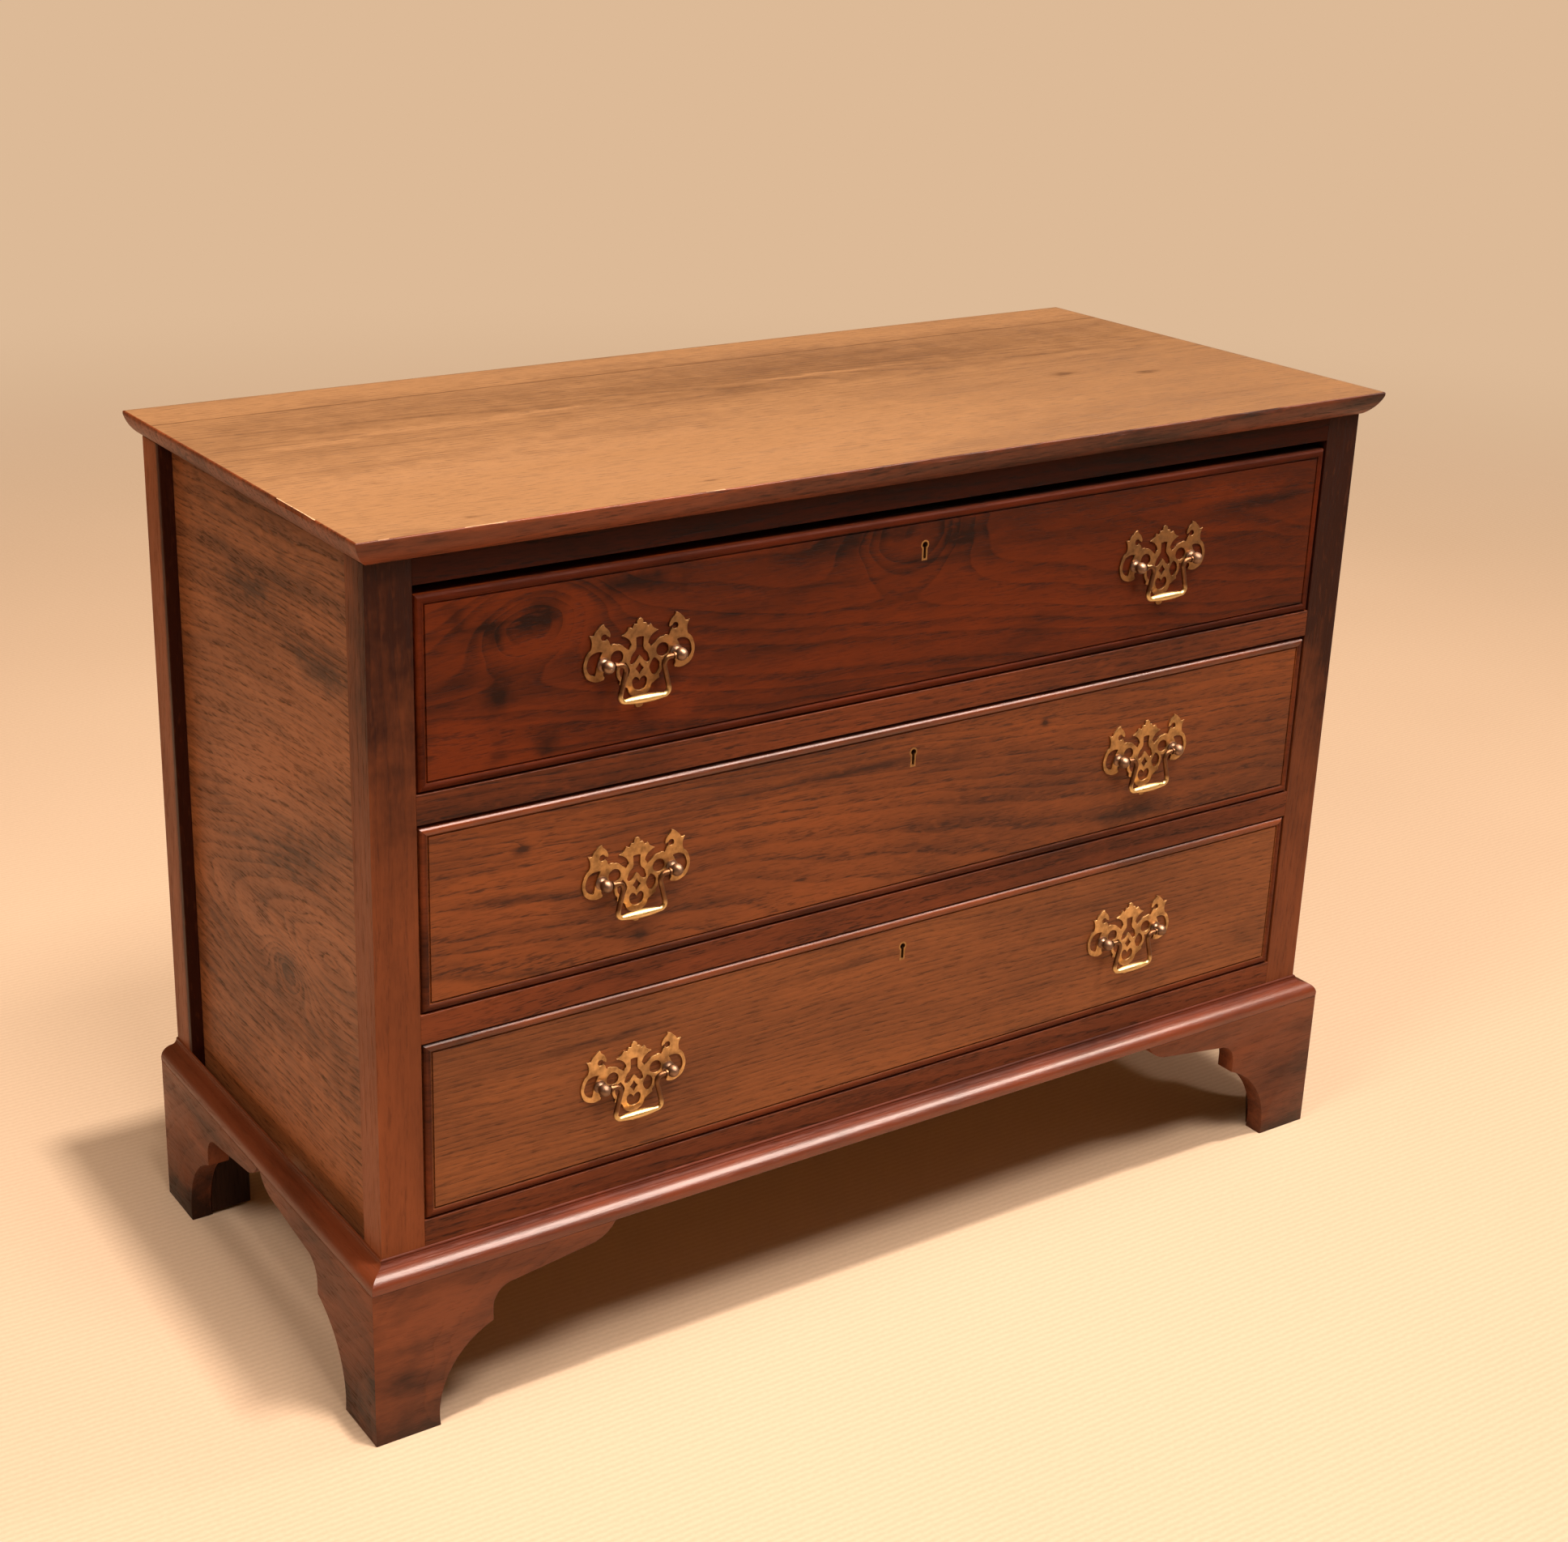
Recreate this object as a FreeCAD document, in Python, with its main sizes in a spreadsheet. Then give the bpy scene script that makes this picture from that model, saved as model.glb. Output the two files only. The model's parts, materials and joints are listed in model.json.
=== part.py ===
import FreeCAD, Part
import os
import re

import Sketcher

# Oak bachelors chest: corner posts with recessed side panels, three long drawers, a moulded top and
# a moulded base on bracket feet. X runs along the width, Y from front to back and Z upwards.
# The origin lies on the floor, under the middle of the chest. All sizes are in millimetres.

doc = FreeCAD.newDocument("bachelors_chest")
# Every size of the chest, in millimetres.
sizes = {
    # Carcass
    "carcass_width": 1000,  # width over the corner posts
    "carcass_depth": 432,  # depth over the corner posts
    "post_width": 38,  # width of a post, seen from the front
    "front_post_depth": 32,  # depth of a front post, seen from the side
    "rear_post_depth": 36,  # depth of a rear post, seen from the side
    "panel_recess": 12,  # step from the posts' outside in to a side panel
    "panel_thickness": 9,  # thickness of the side, back and bottom boards
    "groove_depth": 6,  # depth of the panel grooves
    "groove_gap": 1,  # room left behind a panel's edge in its groove
    "back_recess": 6,  # step from the posts' back in to the back panel
    # Heights from the floor to the top, one after the other
    "bracket_height": 140,  # height of the bracket feet under the base moulding
    "bottom_rail_height": 43,  # bottom front rail
    "gap_over_lower": 1.2,  # gap over the bottom drawer's front
    "lower_rail_height": 25,  # rail over the bottom drawer
    "gap_over_middle": 2.7,  # gap over the middle drawer's front
    "upper_rail_height": 24.5,  # rail over the middle drawer
    "gap_over_upper": 7.7,  # gap over the top drawer's front
    "top_rail_height": 21.5,  # top front rail
    # Top board
    "top_thickness": 21,  # thickness of the top board
    "top_front_overhang": 16.5,  # top board past the front of the posts
    "top_side_overhang": 13,  # top board past the sides of the posts
    "top_back_overhang": 8,  # top board past the back of the posts
    "top_edge_flat": 3.5,  # upright part of the top board's moulded edge
    "top_round_run": 13,  # width of the rounded underside of that edge
    "top_round_bulge": 1.7,  # rise of that round over its chord
    # Base moulding and bracket feet
    "base_projection": 17,  # base past the front and sides of the posts
    "moulding_height": 20,  # height of the base moulding
    "moulding_edge": 3.5,  # upright foot of the moulding's profile
    "ogee_out": 5.5,  # projection where the round meets the hollow
    "ogee_up": 10.7,  # height where the round meets the hollow
    "ogee_round": 1.4,  # rise of the round over its chord
    "ogee_hollow": 1.1,  # depth of the hollow under its chord
    "bead_out": 1,  # projection of the small bead on top of the moulding
    "bead_height": 2,  # height of that bead
    "bracket_thickness": 20,  # thickness of the bracket boards
    "bracket_toe": 58,  # width of a bracket on the floor
    "cusp_reach": 107,  # distance of the cusp from the corner
    "cusp_height": 83,  # height of the cusp
    "cusp_step": 13,  # short rise over the cusp
    "cusp_bulge": 17,  # depth of the large hollow under the cusp
    "scallop_run": 19.5,  # width of the small hollow over the cusp
    "scallop_rise": 18.5,  # height of that small hollow
    "scallop_bulge": 5.4,  # depth of that small hollow
    "bracket_tip_run": 27,  # length of the bracket's tip, past the end of the long slope
    "shoulder_height": 124,  # height of the end of the long slope
    "bracket_reach": 222,  # length of a front bracket along the moulding
    "side_bracket_gap": 5,  # gap between the tips of the two brackets on a side
    "bracket_tip_bulge": 4,  # roundness of the bracket's tip
    "rear_bracket_toe": 40,  # width of a rear bracket on the floor, inside the side board
    "rear_bracket_reach": 110,  # length of a rear bracket along its top
    "rear_bracket_neck": 45,  # height of the square end of a rear bracket
    "block_width": 38,  # width of the glue block in each foot
    "block_lift": 3,  # height of the glue blocks' ends off the floor
    # Rails, runners and their joints
    "front_rail_depth": 55,  # depth of the front rails
    "back_rail_depth": 28,  # depth of the back rails
    "back_rail_height": 36,  # height of the back rails
    "tenon_length": 16,  # length of the stub tenons
    "tenon_thickness": 10,  # thickness of the stub tenons
    "tenon_inset": 10,  # step from a rail's face in to its tenon
    "tenon_shoulder": 7,  # step from a rail's edge in to its tenon
    "mortise_gap": 1,  # room at the end of a tenon
    "runner_width": 22,  # width of a runner inside the line of the posts
    "runner_height": 20,  # height of a runner
    "guide_height": 18,  # height of the guide strip beside a drawer
    "stop_width": 16,  # width of the stop block on a runner's rear end
    "stop_length": 12.2,  # length of the stop blocks
    "stop_gap": 0.3,  # room between a shut drawer and its stop
    # Drawers
    "drawer_front_height": 154,  # height of a drawer front
    "front_rise": 0.8,  # gap under a drawer front
    "drawer_gap": 1.5,  # gap at each end of a drawer front
    "face_recess": 0.5,  # step from the posts' front in to the drawer's face
    "front_thickness": 22,  # thickness of a drawer front
    "edge_bead_width": 7,  # width of the bead round a drawer front
    "edge_bead_round": 3,  # rounding of that bead's outer edge
    "edge_groove_width": 1.6,  # width of the groove inside the bead
    "edge_groove_depth": 1.5,  # depth of that groove
    "side_drop": 8.5,  # step from a drawer front's upper edge down to the sides
    "side_thickness": 11,  # thickness of the drawer sides and back
    "side_rest": 0.3,  # gap between a drawer side and its runner
    "back_drop": 6,  # step from the drawer sides down to the back
    "dado_depth": 4,  # depth of the housing for the drawer back
    "drawer_bottom_thickness": 7,  # thickness of the drawer bottom
    "drawer_bottom_lift": 8,  # drawer bottom over the lower edge of the sides
    "drawer_bottom_tongue": 5,  # part of the drawer bottom inside its grooves
    "tail_length": 16,  # length of the dovetails
    "tail_half_tip": 20,  # half width of a dovetail at its end
    "tail_half_root": 17,  # half width of a dovetail at its root
    # Handles and locks
    "handle_offset": 270,  # distance of each handle from the middle
    "handle_drop": 1.5,  # handle's pivot below the middle of the drawer front
    "pommel_spacing": 65.5,  # distance between the two pommels of a handle
    "pommel_reach": 9.5,  # centre of a pommel's ball in front of the drawer's face
    "ball_radius": 5.2,  # radius of a pommel's ball
    "pommel_neck": 2.6,  # radius of a pommel's neck
    "neck_hollow": 0.6,  # hollow between a pommel's foot and its ball
    "flange_radius": 5.5,  # radius of a pommel's foot
    "flange_thickness": 1.2,  # thickness of a pommel's foot
    "shank_radius": 2.4,  # radius of a pommel's shank
    "shank_hole_radius": 2.5,  # radius of the holes for the shanks
    "shank_end": 5,  # shank past the back of the drawer front
    "nut_radius": 5.5,  # radius to the corners of a shank's nut
    "nut_thickness": 3,  # thickness of a shank's nut
    "plate_thickness": 1.6,  # thickness of a backplate
    "pin_radius": 1.6,  # radius of the bail's pins
    "pin_clearance": 0.08,  # running gap round the bail's pins
    "pin_depth": 3.6,  # length of a pin inside its ball
    "rod_radius": 2.1,  # radius of the bail's rod
    "ball_gap": 0.5,  # gap between a ball and the bail's collar
    "collar_radius": 2.9,  # radius of the bail's collars
    "collar_length": 1.6,  # length of the bail's collars
    "neck_setback": 10,  # centre of the bail's neck inside the pommel
    "neck_radius": 5.5,  # radius of the bail's neck
    "bail_inset": 10.8,  # bail's widest place inside the pommel
    "bail_bend": 5,  # radius of the bail's bend into its grip
    "bail_drop": 30.6,  # bail's grip below its pivot
    "grip_bulge": 1.4,  # swelling of the grip
    "key_offset": 4,  # keyhole right of the middle
    "key_drop": 27,  # keyhole's round head below the drawer front's upper edge
    "key_head_radius": 2.6,  # radius of the keyhole's head
    "key_slot_width": 2.6,  # width of the keyhole's slot
    "key_slot_drop": 11.8,  # length of the slot below the head's centre
    "escutcheon_wall": 1.5,  # width of the brass lining of the keyhole
    "lock_width": 60,  # width of a lock
    "lock_height": 46,  # height of a lock
    "lock_depth": 9,  # depth of a lock's case
    "selvage_depth": 13,  # width of the lock's plate on the upper edge
    "selvage_thickness": 1.6,  # thickness of that plate
    "lock_key_depth": 5,  # depth of the keyhole inside the lock
    "bolt_width": 22,  # width of a lock's bolt
    "bolt_thickness": 4,  # thickness of a lock's bolt
    "bolt_height": 20,  # height of a lock's bolt
    "bolt_cover": 2.5,  # wall of the lock between its bolt and the drawer's inside
    "bolt_gap": 0.3,  # gap round a bolt
    "bolt_throw": 12,  # way that a bolt moves up
    "strike_gap": 1.5,  # room round a thrown bolt in the rail
}

# Places that follow from the sizes.
places = {
    "front_room": "front_rise + drawer_front_height",  # drawer front and the gap under it
    "opening_lower": "front_room + gap_over_lower",  # opening of the bottom drawer
    "opening_middle": "front_room + gap_over_middle",  # opening of the middle drawer
    "opening_upper": "front_room + gap_over_upper",  # opening of the top drawer
    "side_height": "front_room - side_drop - side_rest",  # height of the drawer sides
    "floor_lower": "bracket_height + bottom_rail_height",  # level that the bottom drawer runs on
    "floor_middle": "floor_lower + opening_lower + lower_rail_height",  # level of the middle drawer
    "floor_upper": "floor_middle + opening_middle + upper_rail_height",  # level of the top drawer
    "ceiling_upper": "floor_upper + opening_upper",  # underside of the top rail
    "carcass_top": "ceiling_upper + top_rail_height",  # underside of the top board
    "overall_depth": "base_projection + carcass_depth + top_back_overhang",  # depth of the whole chest
    "carcass_front": "base_projection - overall_depth / 2",  # front of the posts and rails
    "carcass_back": "carcass_front + carcass_depth",  # back of the posts
    "carcass_side": "carcass_width / 2",  # outside of the posts
    "base_front": "carcass_front - base_projection",  # front of the base
    "base_side": "carcass_side + base_projection",  # outside of the base
    # length of a side bracket along the moulding
    "side_reach": "(carcass_back - base_front - side_bracket_gap) / 2",
    "post_inner": "carcass_side - post_width",  # side of the drawer openings
    "panel_outer": "carcass_side - panel_recess",  # outside of a side panel
    "panel_inner": "panel_outer - panel_thickness",  # inside of a side panel
    "front_post_back": "carcass_front + front_post_depth",  # back of the front posts
    "rear_post_front": "carcass_back - rear_post_depth",  # front of the rear posts
    "rail_back": "carcass_front + front_rail_depth",  # back of the front rails
    "back_rail_front": "carcass_back - back_rail_depth",  # front of the back rails
    "panel_tongue": "groove_depth - groove_gap",  # part of a panel inside its groove
    "drawer_half": "post_inner - drawer_gap",  # half the width of a drawer
    "drawer_inside": "drawer_half - side_thickness",  # inside of a drawer side
    "drawer_face": "carcass_front + face_recess",  # face of the drawer fronts
    "front_back": "drawer_face + front_thickness",  # back of the drawer fronts
    "drawer_back": "rear_post_front - stop_length - stop_gap",  # rear end of the drawers
    "lock_front": "front_back - lock_depth",  # front of the locks' cases
    "bolt_back": "front_back - bolt_cover",  # back of the locks' bolts
    "pommel_half": "pommel_spacing / 2",  # half the distance between two pommels
}

sheet = doc.addObject("Spreadsheet::Sheet", "Sizes")
formulas = {name: "=" + formula for name, formula in places.items()}
for row, (name, content) in enumerate({**sizes, **formulas}.items(), 1):
    sheet.set(f"A{row}", name)
    sheet.set(f"B{row}", str(content))
    sheet.setAlias(f"B{row}", name)
doc.recompute()


def named(formula):
    """Point each size in a formula at its cell; every size's name has an underscore in it."""
    return re.sub(r"\b([a-z]+(?:_[a-z]+)+)\b", r"Sizes.\1", str(formula))


def bind(item, prop, formula):
    """Tie one property of an object to a formula of sizes."""
    item.setExpression(prop, named(formula))


def value(formula):
    """Present value of a formula of sizes."""
    return float(sheet.evalExpression(named(formula)))


# ---------------------------------------------------------------- shapes that the pieces are made of
def box(name, x, y, z):
    """Rectangular piece between two places along each axis."""
    item = doc.addObject("Part::Box", name)
    for prop, axis, (start, end) in (("Length", "x", x), ("Width", "y", y), ("Height", "z", z)):
        bind(item, prop, f"({end}) - ({start})")
        bind(item, f"Placement.Base.{axis}", start)
    return item


def fuse(name, pieces):
    item = doc.addObject("Part::MultiFuse", name)
    item.Shapes = pieces
    return item


def cut(name, base, tools):
    """The base without the tools."""
    item = doc.addObject("Part::Cut", name)
    item.Base = base
    item.Tool = tools[0] if len(tools) == 1 else fuse(name + "_tools", tools)
    return item


def common(name, one, other):
    item = doc.addObject("Part::Common", name)
    item.Base = one
    item.Tool = other
    return item


def gather(name, pieces):
    """Several separate solids under one name."""
    item = doc.addObject("Part::Compound", name)
    item.Links = pieces
    return item


def mirror(name, piece):
    """The same piece on the right of the chest."""
    item = doc.addObject("Part::Mirroring", name)
    item.Source = piece
    item.Normal = FreeCAD.Vector(1, 0, 0)
    return item


def bent(start, step):
    """Formulas of the middle of an arc: the chord's middle, moved to its left by the step's bulge."""
    (x0, y0), (x1, y1, bulge) = start, step
    length = f"sqrt((({x1}) - ({x0}))^2 + (({y1}) - ({y0}))^2)"
    middle_x = f"(({x0}) + ({x1})) / 2 - ({bulge}) * (({y1}) - ({y0})) / {length}"
    middle_y = f"(({y0}) + ({y1})) / 2 + ({bulge}) * (({x1}) - ({x0})) / {length}"
    return middle_x, middle_y


def point(place):
    return FreeCAD.Vector(value(place[0]), value(place[1]), 0)


def hold(sketch, geometry, end, place):
    """Tie one point of a sketch to two formulas, as distances from the sketch's origin."""
    for kind, formula in zip(("DistanceX", "DistanceY"), place):
        rule = Sketcher.Constraint(kind, -1, 1, geometry, end, value(formula))
        bind(sketch, f"Constraints[{sketch.addConstraint(rule)}]", formula)


def draw(body, name, plane, start, steps):
    """Closed outline on one of the body's planes. A step (x, y) is a line, (x, y, bulge) an arc."""
    sketch = body.newObject("Sketcher::SketchObject", name)
    support = [face for face in body.Origin.OriginFeatures if face.Role == plane]
    sketch.AttachmentSupport = [(support[0], "")]
    sketch.MapMode = "FlatFace"
    steps = list(steps)
    if steps[-1][:2] != start:
        steps.append(start)
    places = [start] + [step[:2] for step in steps]
    edges = []
    for here, there, step in zip(places, places[1:], steps):
        if len(step) == 2:
            edge = sketch.addGeometry(Part.LineSegment(point(here), point(there)), False)
            edges.append((edge, 1))
            continue
        through = bent(here, step)
        first = 2 if value(step[2]) > 0 else 1
        ends = (there, here) if first == 2 else (here, there)
        edge = sketch.addGeometry(Part.Arc(point(ends[0]), point(through), point(ends[1])), False)
        edges.append((edge, first))
        mark = sketch.addGeometry(Part.Point(point(through)), True)
        sketch.addConstraint(Sketcher.Constraint("PointOnObject", mark, 1, edge))
        hold(sketch, mark, 1, through)
    for (edge, first), (other, entry) in zip(edges, edges[1:] + edges[:1]):
        sketch.addConstraint(Sketcher.Constraint("Coincident", edge, 3 - first, other, entry))
    for (edge, first), place in zip(edges, places):
        hold(sketch, edge, first, place)
    return sketch


def pad(name, plane, outline, start, length):
    """Body padded from a place along the plane's own axis; the outline gives the other two axes."""
    body = doc.addObject("PartDesign::Body", name)
    sketch = draw(body, name + "_outline", plane, *outline)
    feature = body.newObject("PartDesign::Pad", name + "_pad")
    feature.Profile = sketch
    feature.Reversed = plane == "XZ_Plane"
    bind(feature, "Length", length)
    axis = {"XY_Plane": "z", "XZ_Plane": "y", "YZ_Plane": "x"}[plane]
    bind(body, f"Placement.Base.{axis}", start)
    return body


# ---------------------------------------------------------------- front and back rails
def rail(name, y, z, cuts=()):
    """Rail between the posts with a stub tenon through its length; gives the rail and its left mortise."""
    tenon_y = (f"{y[0]} + tenon_inset", f"{y[0]} + tenon_inset + tenon_thickness")
    tenon_z = (f"{z[0]} + tenon_shoulder", f"{z[1]} - tenon_shoulder")
    bar = box(name + "_bar", ("-post_inner", "post_inner"), y, z)
    tenon = box(name + "_tenon", ("-post_inner - tenon_length", "post_inner + tenon_length"),
                tenon_y, tenon_z)
    mortise = box(name + "_mortise", ("-post_inner - tenon_length - mortise_gap", "-post_inner"),
                  tenon_y, tenon_z)
    if cuts:
        return cut(name, fuse(name + "_joined", [bar, tenon]), list(cuts)), mortise
    return fuse(name, [bar, tenon]), mortise


def strike(name, level):
    """Mortise in the underside of a rail, which takes the thrown bolt of the drawer below it."""
    return box(name,
               ("key_offset - bolt_width / 2 - strike_gap", "key_offset + bolt_width / 2 + strike_gap"),
               ("bolt_back - bolt_thickness - strike_gap", "bolt_back + strike_gap"),
               (level, f"{level} + bolt_throw + strike_gap"))


front_y = ("carcass_front", "rail_back")
back_y = ("back_rail_front", "carcass_back")
rail_front_bottom, mortise_bottom = rail("rail_front_bottom", front_y, ("bracket_height", "floor_lower"))
rail_front_lower, mortise_lower = rail(
    "rail_front_lower", front_y, ("floor_lower + opening_lower", "floor_middle"),
    [strike("strike_bottom", "floor_lower + opening_lower")])
rail_front_upper, mortise_upper = rail(
    "rail_front_upper", front_y, ("floor_middle + opening_middle", "floor_upper"),
    [strike("strike_middle", "floor_middle + opening_middle")])
rail_front_top, mortise_top = rail(
    "rail_front_top", front_y, ("ceiling_upper", "carcass_top"), [strike("strike_top", "ceiling_upper")])

back_panel_y = ("carcass_back - back_recess - panel_thickness", "carcass_back - back_recess")
back_low = "bracket_height + back_rail_height"
back_high = "carcass_top - back_rail_height"
rail_back_bottom, mortise_back_bottom = rail(
    "rail_back_bottom", back_y, ("bracket_height", back_low),
    [box("back_groove_bottom", ("-post_inner", "post_inner"), back_panel_y,
         (f"{back_low} - groove_depth", back_low))])
rail_back_top, mortise_back_top = rail(
    "rail_back_top", back_y, (back_high, "carcass_top"),
    [box("back_groove_top", ("-post_inner", "post_inner"), back_panel_y,
         (back_high, f"{back_high} + groove_depth"))])

# ---------------------------------------------------------------- corner posts
carcass_z = ("bracket_height", "carcass_top")
post_x = ("-carcass_side", "-post_inner")
panel_x = ("-panel_outer", "-panel_inner")
post_front_left = cut(
    "post_front_left",
    box("front_post_blank", post_x, ("carcass_front", "front_post_back"), carcass_z),
    [mortise_bottom, mortise_lower, mortise_upper, mortise_top,
     box("front_post_groove", panel_x, ("front_post_back - groove_depth", "front_post_back"), carcass_z)])
post_rear_left = cut(
    "post_rear_left",
    box("rear_post_blank", post_x, ("rear_post_front", "carcass_back"), carcass_z),
    [mortise_back_bottom, mortise_back_top,
     box("rear_post_groove", panel_x, ("rear_post_front", "rear_post_front + groove_depth"), carcass_z),
     box("back_post_groove", ("-post_inner - groove_depth", "-post_inner"), back_panel_y, carcass_z)])
post_front_right = mirror("post_front_right", post_front_left)
post_rear_right = mirror("post_rear_right", post_rear_left)

# ---------------------------------------------------------------- panels
side_panel_left = box("side_panel_left", panel_x,
                      ("front_post_back - panel_tongue", "rear_post_front + panel_tongue"), carcass_z)
side_panel_right = mirror("side_panel_right", side_panel_left)
back_panel = box("back_panel", ("-post_inner - panel_tongue", "post_inner + panel_tongue"), back_panel_y,
                 (f"{back_low} - panel_tongue", f"{back_high} + panel_tongue"))
bottom_board = box("bottom_board", ("-post_inner", "post_inner"), ("rail_back", "back_rail_front"),
                   ("bracket_height", "bracket_height + panel_thickness"))


# ---------------------------------------------------------------- top board
def top_board_piece():
    """Board with a moulded edge on its front and sides: two crossed profiles, where both are solid."""
    top = "carcass_top + top_thickness"
    brow = f"{top} - top_edge_flat"
    front = "carcass_front - top_front_overhang"
    back = "carcass_back + top_back_overhang"
    side = "carcass_side + top_side_overhang"
    lengthwise = ((back, "carcass_top"), [
        (back, top), (front, top), (front, brow),
        (f"{front} + top_round_run", "carcass_top", "-top_round_bulge")])
    across = ((f"-({side}) + top_round_run", "carcass_top"), [
        (f"{side} - top_round_run", "carcass_top"), (side, brow, "-top_round_bulge"),
        (side, top), (f"-({side})", top), (f"-({side})", brow),
        (f"-({side}) + top_round_run", "carcass_top", "-top_round_bulge")])
    return common("top_board",
                  pad("top_lengthwise", "YZ_Plane", lengthwise, f"-({side})", f"2 * ({side})"),
                  pad("top_across", "XZ_Plane", across, front, f"({back}) - ({front})"))


top_board = top_board_piece()


# ---------------------------------------------------------------- base moulding
def moulding_outline(face):
    """Profile outside a face that looks to the negative side: edge, round, hollow and small bead."""
    top = "bracket_height + moulding_height"
    return (face, "bracket_height"), [
        (face, top),
        (f"{face} - bead_out", top),
        (f"{face} - bead_out", f"{top} - bead_height"),
        (f"{face} - ogee_out", "bracket_height + ogee_up", "ogee_hollow"),
        (f"{face} - base_projection", "bracket_height + moulding_edge", "-ogee_round"),
        (f"{face} - base_projection", "bracket_height")]


moulding_span = ("bracket_height", "moulding_height")
base_moulding_front = common(
    "base_moulding_front",
    pad("moulding_run_front", "YZ_Plane", moulding_outline("carcass_front"), "-base_side", "2 * base_side"),
    pad("moulding_plan_front", "XY_Plane", (("-base_side", "base_front"), [
        ("base_side", "base_front"), ("carcass_side", "carcass_front"),
        ("-carcass_side", "carcass_front")]), *moulding_span))
base_moulding_left = common(
    "base_moulding_left",
    pad("moulding_run_left", "XZ_Plane", moulding_outline("-carcass_side"), "base_front",
        "carcass_back - base_front"),
    pad("moulding_plan_left", "XY_Plane", (("-base_side", "base_front"), [
        ("-carcass_side", "carcass_front"), ("-carcass_side", "carcass_back"),
        ("-base_side", "carcass_back")]), *moulding_span))
base_moulding_right = mirror("base_moulding_right", base_moulding_left)


# ---------------------------------------------------------------- bracket feet
def bracket_outline(corner, way, reach):
    """Bracket from its corner along one way: toe, large hollow, cusp, small hollow, slope and tip."""
    turn = "" if way == "+" else "-"
    scallop = f"{corner} {way} (cusp_reach + scallop_run)"
    scallop_top = "cusp_height + cusp_step + scallop_rise"
    return (corner, "0"), [
        (f"{corner} {way} bracket_toe", "0"),
        (f"{corner} {way} cusp_reach", "cusp_height", f"{turn}cusp_bulge"),
        (f"{corner} {way} cusp_reach", "cusp_height + cusp_step"),
        (scallop, scallop_top, f"{turn}scallop_bulge"),
        (f"{corner} {way} ({reach} - bracket_tip_run)", "shoulder_height"),
        (f"{corner} {way} {reach}", "bracket_height",
         "-bracket_tip_bulge" if way == "+" else "bracket_tip_bulge"),
        (corner, "bracket_height")]


def mitred(name, run, plan):
    """Board cut to its mitre by a plan outline over the bracket's whole height."""
    return common(name, run, pad(name + "_plan", "XY_Plane", plan, "0", "bracket_height"))


board_inside = "-base_side + bracket_thickness"
board_behind = "base_front + bracket_thickness"
front_bracket = mitred(
    "front_bracket",
    pad("front_bracket_run", "XZ_Plane", bracket_outline("-base_side", "+", "bracket_reach"), "base_front",
        "bracket_thickness"),
    (("-base_side", "base_front"), [
        ("-base_side + bracket_reach", "base_front"), ("-base_side + bracket_reach", board_behind),
        (board_inside, board_behind)]))
side_bracket = mitred(
    "side_bracket",
    pad("side_bracket_run", "YZ_Plane", bracket_outline("base_front", "+", "side_reach"), "-base_side",
        "bracket_thickness"),
    (("-base_side", "base_front"), [
        (board_inside, board_behind), (board_inside, "base_front + side_reach"),
        ("-base_side", "base_front + side_reach")]))
rear_side_bracket = pad(
    "rear_side_bracket", "YZ_Plane", bracket_outline("carcass_back", "-", "side_reach"), "-base_side",
    "bracket_thickness")
rear_bracket = pad(
    "rear_bracket", "XZ_Plane", ((board_inside, "0"), [
        (f"{board_inside} + rear_bracket_toe", "0"),
        (f"{board_inside} + rear_bracket_reach", "bracket_height - rear_bracket_neck"),
        (f"{board_inside} + rear_bracket_reach", "bracket_height"),
        (board_inside, "bracket_height")]), "carcass_back - bracket_thickness", "bracket_thickness")
block_x = (board_inside, f"{board_inside} + block_width")
block_z = ("block_lift", "bracket_height")
front_block = box("front_block", block_x, (board_behind, f"{board_behind} + block_width"), block_z)
rear_block = box("rear_block", block_x, ("carcass_back - bracket_thickness - block_width",
                                         "carcass_back - bracket_thickness"), block_z)
foot_front_left = gather("foot_front_left", [front_bracket, side_bracket, front_block])
foot_rear_left = gather("foot_rear_left", [rear_side_bracket, rear_bracket, rear_block])
foot_front_right = mirror("foot_front_right", foot_front_left)
foot_rear_right = mirror("foot_rear_right", foot_rear_left)

# ---------------------------------------------------------------- drawer runners
runner_y = ("rail_back", "rear_post_front")
runner_x = ("-panel_inner", "-post_inner + runner_width")


def runner(name, floor):
    """Strip under a drawer side, with its guide beside the drawer and a stop behind it."""
    over = (floor, f"{floor} + guide_height")
    return fuse(name, [
        box(name + "_strip", runner_x, runner_y, (f"{floor} - runner_height", floor)),
        box(name + "_guide", ("-panel_inner", "-post_inner"), runner_y, over),
        box(name + "_stop", ("-post_inner", "-post_inner + stop_width"),
            ("rear_post_front - stop_length", "rear_post_front"), over)])


kicker = box("kicker", runner_x, runner_y, ("ceiling_upper", "carcass_top"))
runners_left = gather("runners_left", [runner("runner_bottom", "floor_lower"),
                                       runner("runner_middle", "floor_middle"),
                                       runner("runner_top", "floor_upper"), kicker])
runners_right = mirror("runners_right", runners_left)


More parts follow.
